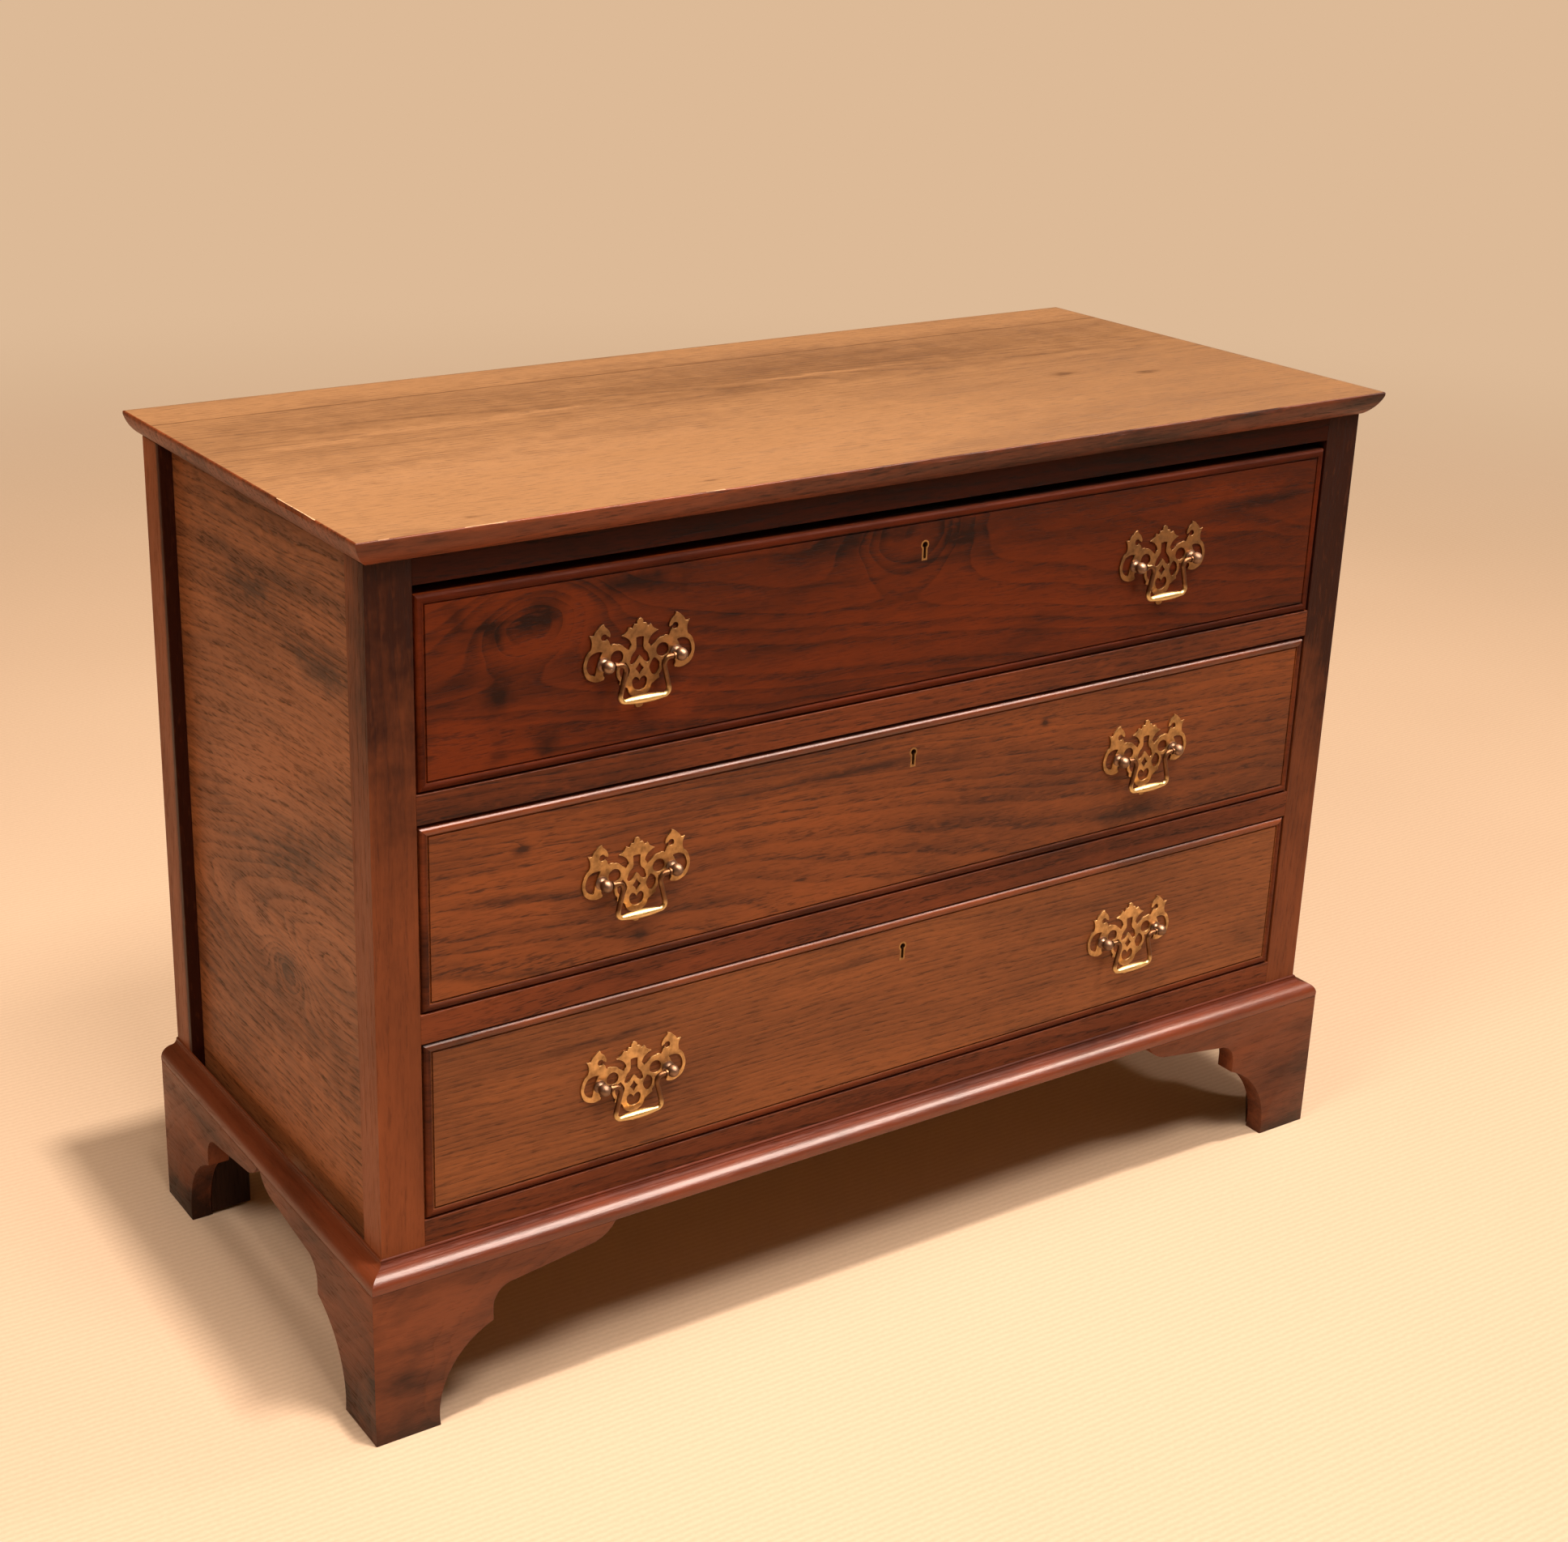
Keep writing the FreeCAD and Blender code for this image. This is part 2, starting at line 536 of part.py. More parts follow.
# ---------------------------------------------------------------- handles
def trace(start, steps, side=1):
    """Closed wire in the backplate's plane: lines (x, z) and arcs (x, z, bulge), mirrored for side -1."""
    unit = value("pommel_half") / 100
    places = [start] + [step[:2] for step in steps]
    edges = []
    for (x0, z0), (x1, z1), step in zip(places, places[1:], steps):
        first = FreeCAD.Vector(side * x0, 0, z0) * unit
        last = FreeCAD.Vector(side * x1, 0, z1) * unit
        if len(step) == 2:
            edges.append(Part.LineSegment(first, last).toShape())
            continue
        left = FreeCAD.Vector(first.z - last.z, 0, last.x - first.x).normalize()
        middle = (first + last) * 0.5 + left * (side * step[2] * unit)
        edges.append(Part.Arc(first, middle, last).toShape())
    return Part.Wire(edges)


def both_halves(start, steps):
    """Outline from a right half that runs from one point on the middle line to another."""
    places = [start] + [step[:2] for step in steps]
    back = []
    for index in range(len(steps) - 1, -1, -1):
        x, z = places[index]
        back.append((-x, z) + tuple(steps[index][2:]))
    return start, list(steps) + back


# The backplate is drawn in hundredths of half the pommel spacing, from midway between the pommels.
# Its edge runs up the right half, from the drop under the middle round the outer scroll and the
# beaked ear to the crown.
plate_edge = both_halves((0, -123.1), [
    (11, -112.7, -3.7), (7.9, -102, 1.5), (15.9, -93.4, 1.2), (31.1, -74.5, -3.4), (38.5, -67.2, 1.5),
    (55.6, -57.7, 0.9), (53.7, -49.5), (62.3, -33.6, -1.5), (60.2, -14.4, -1.8), (80.3, -7.9, -3.7),
    (89.2, -15.3, 0.6), (98.3, -20.2, -0.9), (95.9, -32.4, 2.1), (102.6, -39.4, -2.4), (128.9, -37.9, -2.7),
    (150.2, -14.7, -4.3), (149.3, 18.9, -3.4), (134, 39.1, -2.7), (131.6, 62.9, 2.1), (137.4, 75.4),
    (125.8, 73.3, 1.2), (115.4, 87, -1.5), (98.6, 98, -1.8), (92.8, 87.9, 0.9), (82.4, 75.1, -1.5),
    (81.8, 62.9, -1.5), (89.5, 67.2, 0.6), (105.6, 64.7, 7), (90.4, 60.5, 6.1), (84.3, 54.4, 0.3),
    (78.8, 42.4, 0.6), (64.1, 43.1, -2.7), (43.4, 33.3, -2.7), (29.6, 22.9), (22.6, 33.6, -1.5),
    (36.6, 54.7, 2.7), (51, 61.4, 0.6), (34.5, 71.8, 1.2), (29.6, 79.7, -0.9), (20.8, 76, 0.6),
    (15.9, 85.2, -0.9), (7.9, 85.5, 0.6), (0, 98.3, -4)])
plate_middle_holes = [
    both_halves((0, 52.8), [(10.4, 51.3, 0.3), (9.5, 27.5), (18.6, 13.4, -1.5), (25.3, -1.2, 1.2),
                            (20.5, -14, 4), (9.8, -5.5, 0.9), (0, 5.8, -0.9)]),
    both_halves((0, -10.7), [(11.6, -26, -0.9), (0, -40.6, -0.9)]),
    both_halves((0, -56.8), [(11.9, -45.8, 2.4), (19.8, -61.7, 3.7), (0, -80.3, 5.5)])]
plate_side_holes = [
    ((38.8, -5.2), [(26.3, -26.3, -1.2), (33.3, -43.4, -0.9), (42.1, -48.9, -0.9), (53.4, -34.8, -1.2),
                    (54.4, -20.8, -0.6), (38.8, -5.2, -2.7)]),
    ((79.7, 11), [(45.5, 11, -17.1), (79.7, 11, -17.1)]),
    ((102.6, 29.9), [(117.3, -6.7, 1.5), (121.8, -25.6, -0.9), (144.4, -1.8, -5.8), (135, 24.7, -2.1),
                   (102.6, 29.9, -4.6)])]


def backplate():
    """Pierced backplate: the traced edge with its holes and the two shank holes, extruded."""
    wires = [trace(*plate_edge)] + [trace(*outline) for outline in plate_middle_holes]
    for outline in plate_side_holes:
        wires += [trace(*outline), trace(*outline, side=-1)]
    for side in (1, -1):
        centre = FreeCAD.Vector(side * value("pommel_half"), 0, 0)
        circle = Part.Circle(centre, FreeCAD.Vector(0, 1, 0), value("shank_hole_radius"))
        wires.append(Part.Wire(circle.toShape()))
    face = Part.makeFace(wires, "Part::FaceMakerBullseye")
    return face.extrude(FreeCAD.Vector(0, -value("plate_thickness"), 0))


def bail_path(neck, centre, half, bend, drop):
    """Right half of the rod's middle line: in from the pommel, round the neck, down, and to the grip.

    The straight run touches the neck's circle on its inner side and the bend's circle on its outer
    side, so it crosses the line between their centres. The bend turns back to the level grip.
    """
    pin = FreeCAD.Vector(value("pommel_half - ball_radius - ball_gap"), 0, 0)
    neck_centre = FreeCAD.Vector(centre, 0, -neck)
    bend_centre = FreeCAD.Vector(half - bend, 0, bend - drop)
    way = bend_centre - neck_centre
    sine = (neck + bend) / way.Length
    way = way * (1 / way.Length)
    cosine = (1 - sine ** 2) ** 0.5
    side = FreeCAD.Vector(way.x * sine + way.z * cosine, 0, way.z * sine - way.x * cosine)
    neck_start = FreeCAD.Vector(centre, 0, 0)
    neck_middle = neck_centre - FreeCAD.Vector(neck, 0, 0)
    neck_end = neck_centre + side * neck
    bend_start = bend_centre - side * bend
    bend_middle = bend_centre + FreeCAD.Vector(bend, 0, 0)
    low = bend_centre - FreeCAD.Vector(0, 0, bend)
    return [
        Part.LineSegment(pin, neck_start), Part.Arc(neck_start, neck_middle, neck_end),
        Part.LineSegment(neck_end, bend_start), Part.Arc(bend_start, bend_middle, low),
        Part.LineSegment(low, FreeCAD.Vector(0, 0, low.z))], low


def turned(points, level):
    """Solid turned about the X direction at a height, from a profile of (x, radius) points."""
    corners = [FreeCAD.Vector(x, 0, level + radius) for x, radius in points]
    face = Part.Face(Part.makePolygon(corners + corners[:1]))
    return face.revolve(FreeCAD.Vector(0, 0, level), FreeCAD.Vector(1, 0, 0), 360)


def bail_shape():
    """Swan-neck bail: a bent rod with a swollen grip, a collar and a pin at each end."""
    drop = value("bail_drop")
    edges, low = bail_path(value("neck_radius"), value("pommel_half - neck_setback"),
                           value("pommel_half - bail_inset"), value("bail_bend"), drop)
    start = edges[0].StartPoint
    section = Part.Circle(start, FreeCAD.Vector(1, 0, 0), value("rod_radius"))
    half = Part.Wire([edge.toShape() for edge in edges]).makePipeShell(
        [Part.Wire(section.toShape())], True, False)
    rod = value("rod_radius")
    grip_arc = Part.Arc(FreeCAD.Vector(-low.x, 0, rod - drop),
                        FreeCAD.Vector(0, 0, rod - drop + value("grip_bulge")),
                        FreeCAD.Vector(low.x, 0, rod - drop))
    ends = [FreeCAD.Vector(low.x, 0, rod - drop), FreeCAD.Vector(low.x, 0, -drop),
            FreeCAD.Vector(-low.x, 0, -drop), FreeCAD.Vector(-low.x, 0, rod - drop)]
    grip_face = Part.Face(Part.Wire([grip_arc.toShape()] + Part.makePolygon(ends).Edges))
    grip = grip_face.revolve(FreeCAD.Vector(0, 0, -drop), FreeCAD.Vector(1, 0, 0), 360)
    pin = value("pin_radius")
    collar = value("collar_radius")
    collar_in = start.x - value("collar_length")
    pin_end = value("pommel_half - ball_radius + pin_depth")
    end = turned([(collar_in, 0), (collar_in, collar), (start.x, collar), (start.x, pin),
                  (pin_end, pin), (pin_end, 0)], 0)
    right = half.fuse(end)
    left = right.mirror(FreeCAD.Vector(0, 0, 0), FreeCAD.Vector(1, 0, 0))
    return right.fuse([left, grip]).removeSplitter()


def pommel_body():
    """Turned pommel along Y, with the drawer's face at zero and its ball in front of it."""
    front_bulge = "-ball_radius * (1 - sqrt(0.5))"
    back_bulge = "sqrt((ball_radius^2 + ball_radius * pommel_neck) / 2) - ball_radius"
    start = ("front_thickness + shank_end", "0")
    steps = [
        ("front_thickness + shank_end", "shank_radius"),
        ("-plate_thickness", "shank_radius"),
        ("-plate_thickness", "flange_radius"),
        ("-plate_thickness - flange_thickness", "flange_radius"),
        ("-pommel_reach + sqrt(ball_radius^2 - pommel_neck^2)", "pommel_neck", "neck_hollow"),
        ("-pommel_reach", "ball_radius", back_bulge),
        ("-pommel_reach - ball_radius", "0", front_bulge)]
    body = doc.addObject("PartDesign::Body", "pommel_pattern")
    sketch = draw(body, "pommel_profile", "YZ_Plane", start, steps)
    feature = body.newObject("PartDesign::Revolution", "pommel_turning")
    feature.Profile = sketch
    feature.ReferenceAxis = (sketch, ["H_Axis"])
    feature.Angle = 360
    return body


def pommel_piece():
    """Pommel with a blind hole for the bail's pin on its left side."""
    hole = doc.addObject("Part::Cylinder", "pin_hole")
    hole.Placement.Rotation = FreeCAD.Rotation(FreeCAD.Vector(0, 1, 0), -90)
    bind(hole, "Radius", "pin_radius + pin_clearance")
    bind(hole, "Height", "2 * ball_radius")
    bind(hole, "Placement.Base.x", "pin_depth - ball_radius + pin_clearance")
    bind(hole, "Placement.Base.y", "-pommel_reach")
    return cut("pommel_drilled", pommel_body(), [hole])


def nut_piece():
    """Six-sided nut on the shank, against the back of the drawer front."""
    blank = doc.addObject("Part::Prism", "nut_blank")
    blank.Polygon = 6
    bind(blank, "Circumradius", "nut_radius")
    bind(blank, "Height", "nut_thickness")
    thread = doc.addObject("Part::Cylinder", "nut_thread")
    bind(thread, "Radius", "shank_radius")
    bind(thread, "Height", "nut_thickness")
    for piece in (blank, thread):
        piece.Placement.Rotation = FreeCAD.Rotation(FreeCAD.Vector(1, 0, 0), -90)
        bind(piece, "Placement.Base.y", "front_thickness")
    return cut("nut_pattern", blank, [thread])


def copy_at(name, shape, x, y, z, turn=0):
    """Copy of a handle's piece at one place, turned about Y."""
    item = doc.addObject("Part::Feature", name)
    item.Shape = shape
    item.Placement.Rotation = FreeCAD.Rotation(FreeCAD.Vector(0, 1, 0), turn)
    bind(item, "Placement.Base.x", x)
    bind(item, "Placement.Base.y", y)
    bind(item, "Placement.Base.z", z)
    return item


pommel_pattern = pommel_piece()
nut_pattern = nut_piece()
doc.recompute()
plate_pattern = backplate()
bail_pattern = bail_shape()


# ---------------------------------------------------------------- drawers
def keyhole_outline(top, grow):
    """Keyhole with a round head and a straight slot, grown by a margin."""
    head = f"(key_head_radius + {grow})"
    half = f"(key_slot_width / 2 + {grow})"
    joint = f"sqrt({head}^2 - {half}^2)"
    centre = f"({top} - key_drop)"
    foot = f"{centre} - key_slot_drop - {grow}"
    return (f"key_offset - {half}", foot), [
        (f"key_offset + {half}", foot),
        (f"key_offset + {half}", f"{centre} - {joint}"),
        (f"key_offset - {half}", f"{centre} - {joint}", f"-({head} + {joint})")]


def front_blank(name, floor):
    """Drawer front with the outer edge of its bead rounded over."""
    low = f"{floor} + front_rise"
    high = f"{low} + drawer_front_height"
    body = pad(name, "XZ_Plane", (("-drawer_half", low), [
        ("drawer_half", low), ("drawer_half", high), ("-drawer_half", high)]), "drawer_face",
        "front_thickness")
    doc.recompute()
    base = body.Tip
    edges = [f"Edge{number}" for number, edge in enumerate(base.Shape.Edges, 1)
             if edge.BoundBox.YMax < value("front_thickness") / 2]
    rounding = body.newObject("PartDesign::Fillet", name + "_rounding")
    rounding.Base = (base, edges)
    bind(rounding, "Radius", "edge_bead_round")
    body.Tip = rounding
    return body


def bead_groove(name, low, high):
    """Frame-shaped tool for the groove inside the bead."""
    def sheet_box(suffix, inset):
        return box(name + suffix, (f"-drawer_half + {inset}", f"drawer_half - {inset}"),
                   ("drawer_face", "drawer_face + edge_groove_depth"),
                   (f"{low} + {inset}", f"{high} - {inset}"))
    return cut(name, sheet_box("_outer", "edge_bead_width"),
               [sheet_box("_inner", "(edge_bead_width + edge_groove_width)")])


def shank_hole(name, x, z):
    hole = doc.addObject("Part::Cylinder", name)
    hole.Placement.Rotation = FreeCAD.Rotation(FreeCAD.Vector(1, 0, 0), -90)
    bind(hole, "Radius", "shank_hole_radius")
    bind(hole, "Height", "front_thickness")
    bind(hole, "Placement.Base.x", x)
    bind(hole, "Placement.Base.y", "drawer_face")
    bind(hole, "Placement.Base.z", z)
    return hole


def dovetail(name, middle):
    """One tail on the front end of a left drawer side, wider at its tip."""
    tail = doc.addObject("Part::Wedge", name)
    bounds = {
        "Xmin": "0", "Xmax": "side_thickness", "X2min": "0", "X2max": "side_thickness",
        "Ymin": "0", "Ymax": "tail_length",
        "Zmin": "-tail_half_tip", "Zmax": "tail_half_tip",
        "Z2min": "-tail_half_root", "Z2max": "tail_half_root"}
    for prop, formula in bounds.items():
        bind(tail, prop, formula)
    bind(tail, "Placement.Base.x", "-drawer_half")
    bind(tail, "Placement.Base.y", "front_back - tail_length")
    bind(tail, "Placement.Base.z", middle)
    return tail


def drawer_box(name, floor, tails):
    """Sides with their tails and housings, back and bottom of one drawer."""
    low = f"{floor} + side_rest"
    high = f"{low} + side_height"
    bottom = f"{low} + drawer_bottom_lift"
    bottom_z = (bottom, f"{bottom} + drawer_bottom_thickness")
    bottom_y = ("front_back - drawer_bottom_tongue", "drawer_back")
    back_y = ("drawer_back - side_thickness", "drawer_back")
    blank = box(name + "_side_blank", ("-drawer_half", "-drawer_inside"), ("front_back", "drawer_back"),
                (low, high))
    groove = box(name + "_side_groove", ("-drawer_inside - drawer_bottom_tongue", "-drawer_inside"),
                 bottom_y, bottom_z)
    dado = box(name + "_side_dado", ("-drawer_inside - dado_depth", "-drawer_inside"), back_y,
               (bottom_z[1], high))
    left = cut(name + "_side_left", fuse(name + "_side_tailed", [blank] + tails), [groove, dado])
    right = mirror(name + "_side_right", left)
    back = box(name + "_back", ("-drawer_inside - dado_depth", "drawer_inside + dado_depth"), back_y,
               (bottom_z[1], f"{high} - back_drop"))
    bottom = box(name + "_bottom",
                 ("-drawer_inside - drawer_bottom_tongue", "drawer_inside + drawer_bottom_tongue"),
                 bottom_y, bottom_z)
    front_groove = box(name + "_front_groove", ("-drawer_inside", "drawer_inside"),
                       ("front_back - drawer_bottom_tongue", "front_back"), bottom_z)
    return [left, right, back, bottom], front_groove


def drawer_lock(name, top):
    """Lock with its upper plate, its bolt and the brass lining of the keyhole."""
    case_x = ("key_offset - lock_width / 2", "key_offset + lock_width / 2")
    case = box(name + "_lock_case", case_x, ("lock_front", "front_back"), (f"{top} - lock_height", top))
    selvage = box(name + "_lock_selvage", case_x, ("front_back - selvage_depth", "front_back"),
                  (f"{top} - selvage_thickness", top))
    bolt = box(name + "_lock_bolt", ("key_offset - bolt_width / 2", "key_offset + bolt_width / 2"),
               ("bolt_back - bolt_thickness", "bolt_back"), (f"{top} - bolt_height", top))
    channel = box(name + "_lock_channel",
                  ("key_offset - bolt_width / 2 - bolt_gap", "key_offset + bolt_width / 2 + bolt_gap"),
                  ("bolt_back - bolt_thickness - bolt_gap", "bolt_back + bolt_gap"),
                  (f"{top} - bolt_height - bolt_gap", top))
    key_way = pad(name + "_key_way", "XZ_Plane", keyhole_outline(top, "0"), "drawer_face",
                  "front_thickness - lock_depth + lock_key_depth")
    body = fuse(name + "_lock_body", [case, selvage])
    lock = cut(name + "_lock", body, [channel, key_way])
    lining = pad(name + "_lining", "XZ_Plane", keyhole_outline(top, "escutcheon_wall"), "drawer_face",
                 "front_thickness - lock_depth")
    escutcheon = cut(name + "_escutcheon", lining, [key_way])
    return [lock, bolt, escutcheon], [body, lining]


def drawer_handles(name, level):
    """Two backplates, four pommels with nuts and two bails, and the holes for the shanks."""
    plates, pommels, bails, holes = [], [], [], []
    pivot = "drawer_face - pommel_reach"
    for side, centre in (("left", "-handle_offset"), ("right", "handle_offset")):
        plates.append(copy_at(f"{name}_plate_{side}", plate_pattern, centre, "drawer_face", level))
        bails.append(copy_at(f"{name}_bail_{side}", bail_pattern, centre, pivot, level))
        for number, (place, turn) in enumerate(((f"{centre} - pommel_half", 180),
                                                (f"{centre} + pommel_half", 0))):
            tag = f"{side}_{number}"
            pommels.append(copy_at(f"{name}_pommel_{tag}", pommel_pattern.Shape, place, "drawer_face", level,
                                   turn))
            pommels.append(copy_at(f"{name}_nut_{tag}", nut_pattern.Shape, place, "drawer_face", level))
            holes.append(shank_hole(f"{name}_shank_hole_{tag}", place, level))
    return [gather(name + "_plates", plates), gather(name + "_pommels", pommels)] + bails, holes


TAIL_COUNT = 3


def drawer(name, floor):
    """All the pieces of one drawer that runs on a given floor level."""
    low = f"{floor} + front_rise"
    top = f"{low} + drawer_front_height"
    pitch = f"side_height / {TAIL_COUNT}"
    tails = [dovetail(f"{name}_tail_{number}", f"{floor} + side_rest + {pitch} * {number + 0.5}")
             for number in range(TAIL_COUNT)]
    right_tails = [mirror(f"{name}_right_tail_{number}", tail) for number, tail in enumerate(tails)]
    box_pieces, front_groove = drawer_box(name, floor, tails)
    lock_pieces, lock_holes = drawer_lock(name, top)
    handles, holes = drawer_handles(name, f"{low} + drawer_front_height / 2 - handle_drop")
    front = cut(name + "_front", front_blank(name + "_front_blank", floor),
                [bead_groove(name + "_bead_groove", low, top), front_groove]
                + tails + right_tails + lock_holes + holes)
    return [front] + box_pieces + lock_pieces + handles


pieces = [
    top_board, post_front_left, post_front_right, post_rear_left, post_rear_right,
    side_panel_left, side_panel_right, back_panel, bottom_board,
    rail_front_top, rail_front_upper, rail_front_lower, rail_front_bottom, rail_back_top, rail_back_bottom,
    runners_left, runners_right, base_moulding_front, base_moulding_left, base_moulding_right,
    foot_front_left, foot_front_right, foot_rear_left, foot_rear_right]
for drawer_name, drawer_floor in (("drawer_top", "floor_upper"), ("drawer_middle", "floor_middle"),
                                  ("drawer_bottom", "floor_lower")):
    pieces += drawer(drawer_name, drawer_floor)
doc.recompute()

# ---------------------------------------------------------------- checks and files
for item in doc.Objects:
    if "Invalid" in item.State or "Error" in item.State:
        raise RuntimeError(f"{item.Name} is {item.State}")
for piece in pieces:
    if piece.Shape.isNull() or not piece.Shape.isValid() or not piece.Shape.Solids:
        raise RuntimeError(f"{piece.Label} has no valid solid")

os.makedirs("parts", exist_ok=True)
for piece in pieces:
    piece.Shape.exportStep(f"parts/{piece.Label}.step")
print(len(pieces), "sub-parts written")
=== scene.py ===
import json
import math

import bmesh
import bpy
import numpy as np
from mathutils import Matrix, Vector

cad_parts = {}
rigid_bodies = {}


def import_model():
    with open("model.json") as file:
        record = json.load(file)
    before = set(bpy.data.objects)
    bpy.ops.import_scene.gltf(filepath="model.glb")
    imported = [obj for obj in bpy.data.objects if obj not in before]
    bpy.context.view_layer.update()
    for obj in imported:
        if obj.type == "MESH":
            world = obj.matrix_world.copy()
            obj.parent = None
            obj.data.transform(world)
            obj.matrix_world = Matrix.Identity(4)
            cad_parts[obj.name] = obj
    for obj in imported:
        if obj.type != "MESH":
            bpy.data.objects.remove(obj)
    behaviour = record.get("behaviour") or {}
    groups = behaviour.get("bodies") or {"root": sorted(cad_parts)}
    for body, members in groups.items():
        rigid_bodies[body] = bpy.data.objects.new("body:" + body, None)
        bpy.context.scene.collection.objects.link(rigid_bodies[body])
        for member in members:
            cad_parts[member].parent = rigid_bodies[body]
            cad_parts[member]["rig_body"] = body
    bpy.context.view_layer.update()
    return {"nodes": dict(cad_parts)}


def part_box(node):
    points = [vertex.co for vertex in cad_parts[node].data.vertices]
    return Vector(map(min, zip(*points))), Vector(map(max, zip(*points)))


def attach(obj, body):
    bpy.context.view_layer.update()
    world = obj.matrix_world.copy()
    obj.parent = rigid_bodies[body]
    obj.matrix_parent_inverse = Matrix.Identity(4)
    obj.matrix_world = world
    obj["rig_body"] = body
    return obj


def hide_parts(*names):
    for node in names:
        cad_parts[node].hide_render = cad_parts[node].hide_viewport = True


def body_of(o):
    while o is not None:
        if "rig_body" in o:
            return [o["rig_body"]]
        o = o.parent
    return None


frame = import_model()

# ---------------------------------------------------------------- room
# The chest stands on a pale carpeted floor under soft warm ceiling lamps, in a light room.
# The camera looks down on its front and its left side.
scene = bpy.context.scene
scene.view_settings.view_transform = "Standard"


def shade(red, green, blue):
    """Colour from 0 to 255, as paint charts give it, as linear light."""
    chart = np.array([red, green, blue]) / 255
    light = np.where(chart < 0.04045, chart / 12.92, ((chart + 0.055) / 1.055) ** 2.4)
    return (*light.tolist(), 1.0)


def node(tree, kind, feeds=(), out=0, **settings):
    """One shader node; feeds go to its inputs by name or in order. Gives one of its outputs."""
    made = tree.nodes.new(kind)
    for setting, choice in settings.items():
        setattr(made, setting, choice)
    for entry, source in feeds.items() if isinstance(feeds, dict) else enumerate(feeds):
        if isinstance(source, bpy.types.NodeSocket):
            tree.links.new(source, made.inputs[entry])
        else:
            made.inputs[entry].default_value = source
    return made.outputs[out]


def sums(tree, operation, *terms):
    """Value of one operation on values."""
    return node(tree, "ShaderNodeMath", terms, operation=operation)


def vectors(tree, operation, *terms, out="Vector"):
    """Vector of one operation on vectors, or its value."""
    return node(tree, "ShaderNodeVectorMath", terms, out, operation=operation)


def clouds(tree, place, scale=1.0, detail=2.0, roughness=0.5, out="Fac"):
    """Soft noise from 0 to 1, or as a colour. Its clouds are about 1 / scale metres wide."""
    feeds = {"Vector": place, "Scale": scale, "Detail": detail, "Roughness": roughness}
    return node(tree, "ShaderNodeTexNoise", feeds, out)


def between(tree, share, low, high):
    """Colour that goes from low to high with the share."""
    return node(tree, "ShaderNodeMix", {0: share, 6: low, 7: high}, 2, data_type="RGBA")


def ramp(tree, value, start, end, low=0.0, high=1.0):
    """Value from low to high while another goes from start to end, and no further."""
    return node(tree, "ShaderNodeMapRange", (value, start, end, low, high))


def new_finish(name, **plain):
    """Material with plain values on its shader's own sockets."""
    finish = bpy.data.materials.new(name)
    finish.use_nodes = True
    shader = finish.node_tree.nodes["Principled BSDF"]
    for entry, value in plain.items():
        shader.inputs[entry.replace("_", " ")].default_value = value
    return finish, finish.node_tree, shader.inputs


def lay_floor(clear=1.5, half=4.5):
    """Level square of ribbed carpet. From clear to half metres from its middle it fades evenly away."""
    finish, tree, shader = new_finish("carpet", Roughness=0.95, Specular_IOR_Level=0.1)
    place = node(tree, "ShaderNodeTexCoord", out="Object")
    tufts = sums(tree, "MULTIPLY", clouds(tree, place, 260.0), 0.5)
    share = sums(tree, "MULTIPLY_ADD", clouds(tree, place, 1.2), 0.4, tufts)
    feeds = {"Vector": place, "Scale": 50.0, "Distortion": 2.0, "Detail Scale": 2.0}
    ribs = node(tree, "ShaderNodeTexWave", feeds, "Fac", bands_direction="Y")
    share = sums(tree, "MULTIPLY_ADD", ribs, 0.3, sums(tree, "SUBTRACT", share, 0.05))
    tree.links.new(between(tree, share, shade(190, 172, 154), shade(212, 196, 180)), shader["Base Color"])
    away = vectors(tree, "LENGTH", place, out="Value")
    edge = node(tree, "ShaderNodeMapRange", (away, clear, half, 1.0, 0.0), interpolation_type="SMOOTHSTEP")
    tree.links.new(edge, shader["Alpha"])
    mesh = bpy.data.meshes.new("floor")
    mesh.from_pydata([(-half, -half, 0), (half, -half, 0), (half, half, 0), (-half, half, 0)], [], [(0, 1, 2, 3)])
    mesh.materials.append(finish)
    floor = bpy.data.objects.new("floor", mesh)
    scene.collection.objects.link(floor)


def lamp(name, place, target, size, power, tint):
    """Soft rectangular lamp at a place, turned to a target."""
    light = bpy.data.lights.new(name, "AREA")
    light.shape = "RECTANGLE"
    light.size, light.size_y = size
    light.energy = power
    light.color = tint
    item = bpy.data.objects.new(name, light)
    item.location = place
    way = np.subtract(target, place)
    item.rotation_euler = (math.atan2(math.hypot(way[0], way[1]), -way[2]), 0, math.atan2(-way[0], way[1]))
    scene.collection.objects.link(item)
    return item


lay_floor()
lamp("lamp_over", (0.17, -1.08, 8.0), (0.0, -0.1, 0.4), (0.4, 0.4), 590, (1.0, 0.78, 0.58))
lamp("lamp_right", (1.9, -0.6, 2.3), (0.1, -0.1, 0.3), (0.3, 0.3), 11, (1.0, 0.78, 0.60))
# The strip only shines in wax and brass, and the two fills only light what is dull.
strip = lamp("lamp_strip", (0.85, -1.1, 2.3), (-0.1, -0.2, 0.15), (1.9, 1.8), 210, (1.0, 0.88, 0.78))
strip.visible_diffuse = False
for name, place, target, size, power in (
        ("fill_left", (-2.2, -0.7, 2.7), (-0.3, 0.0, 0.3), (1.0, 1.0), 50),
        ("fill_front", (-0.2, -1.8, 3.7), (0.0, -0.2, 0.4), (1.5, 0.8), 104)):
    fill = lamp(name, place, target, size, power, (1.0, 0.79, 0.60))
    fill.visible_glossy = False

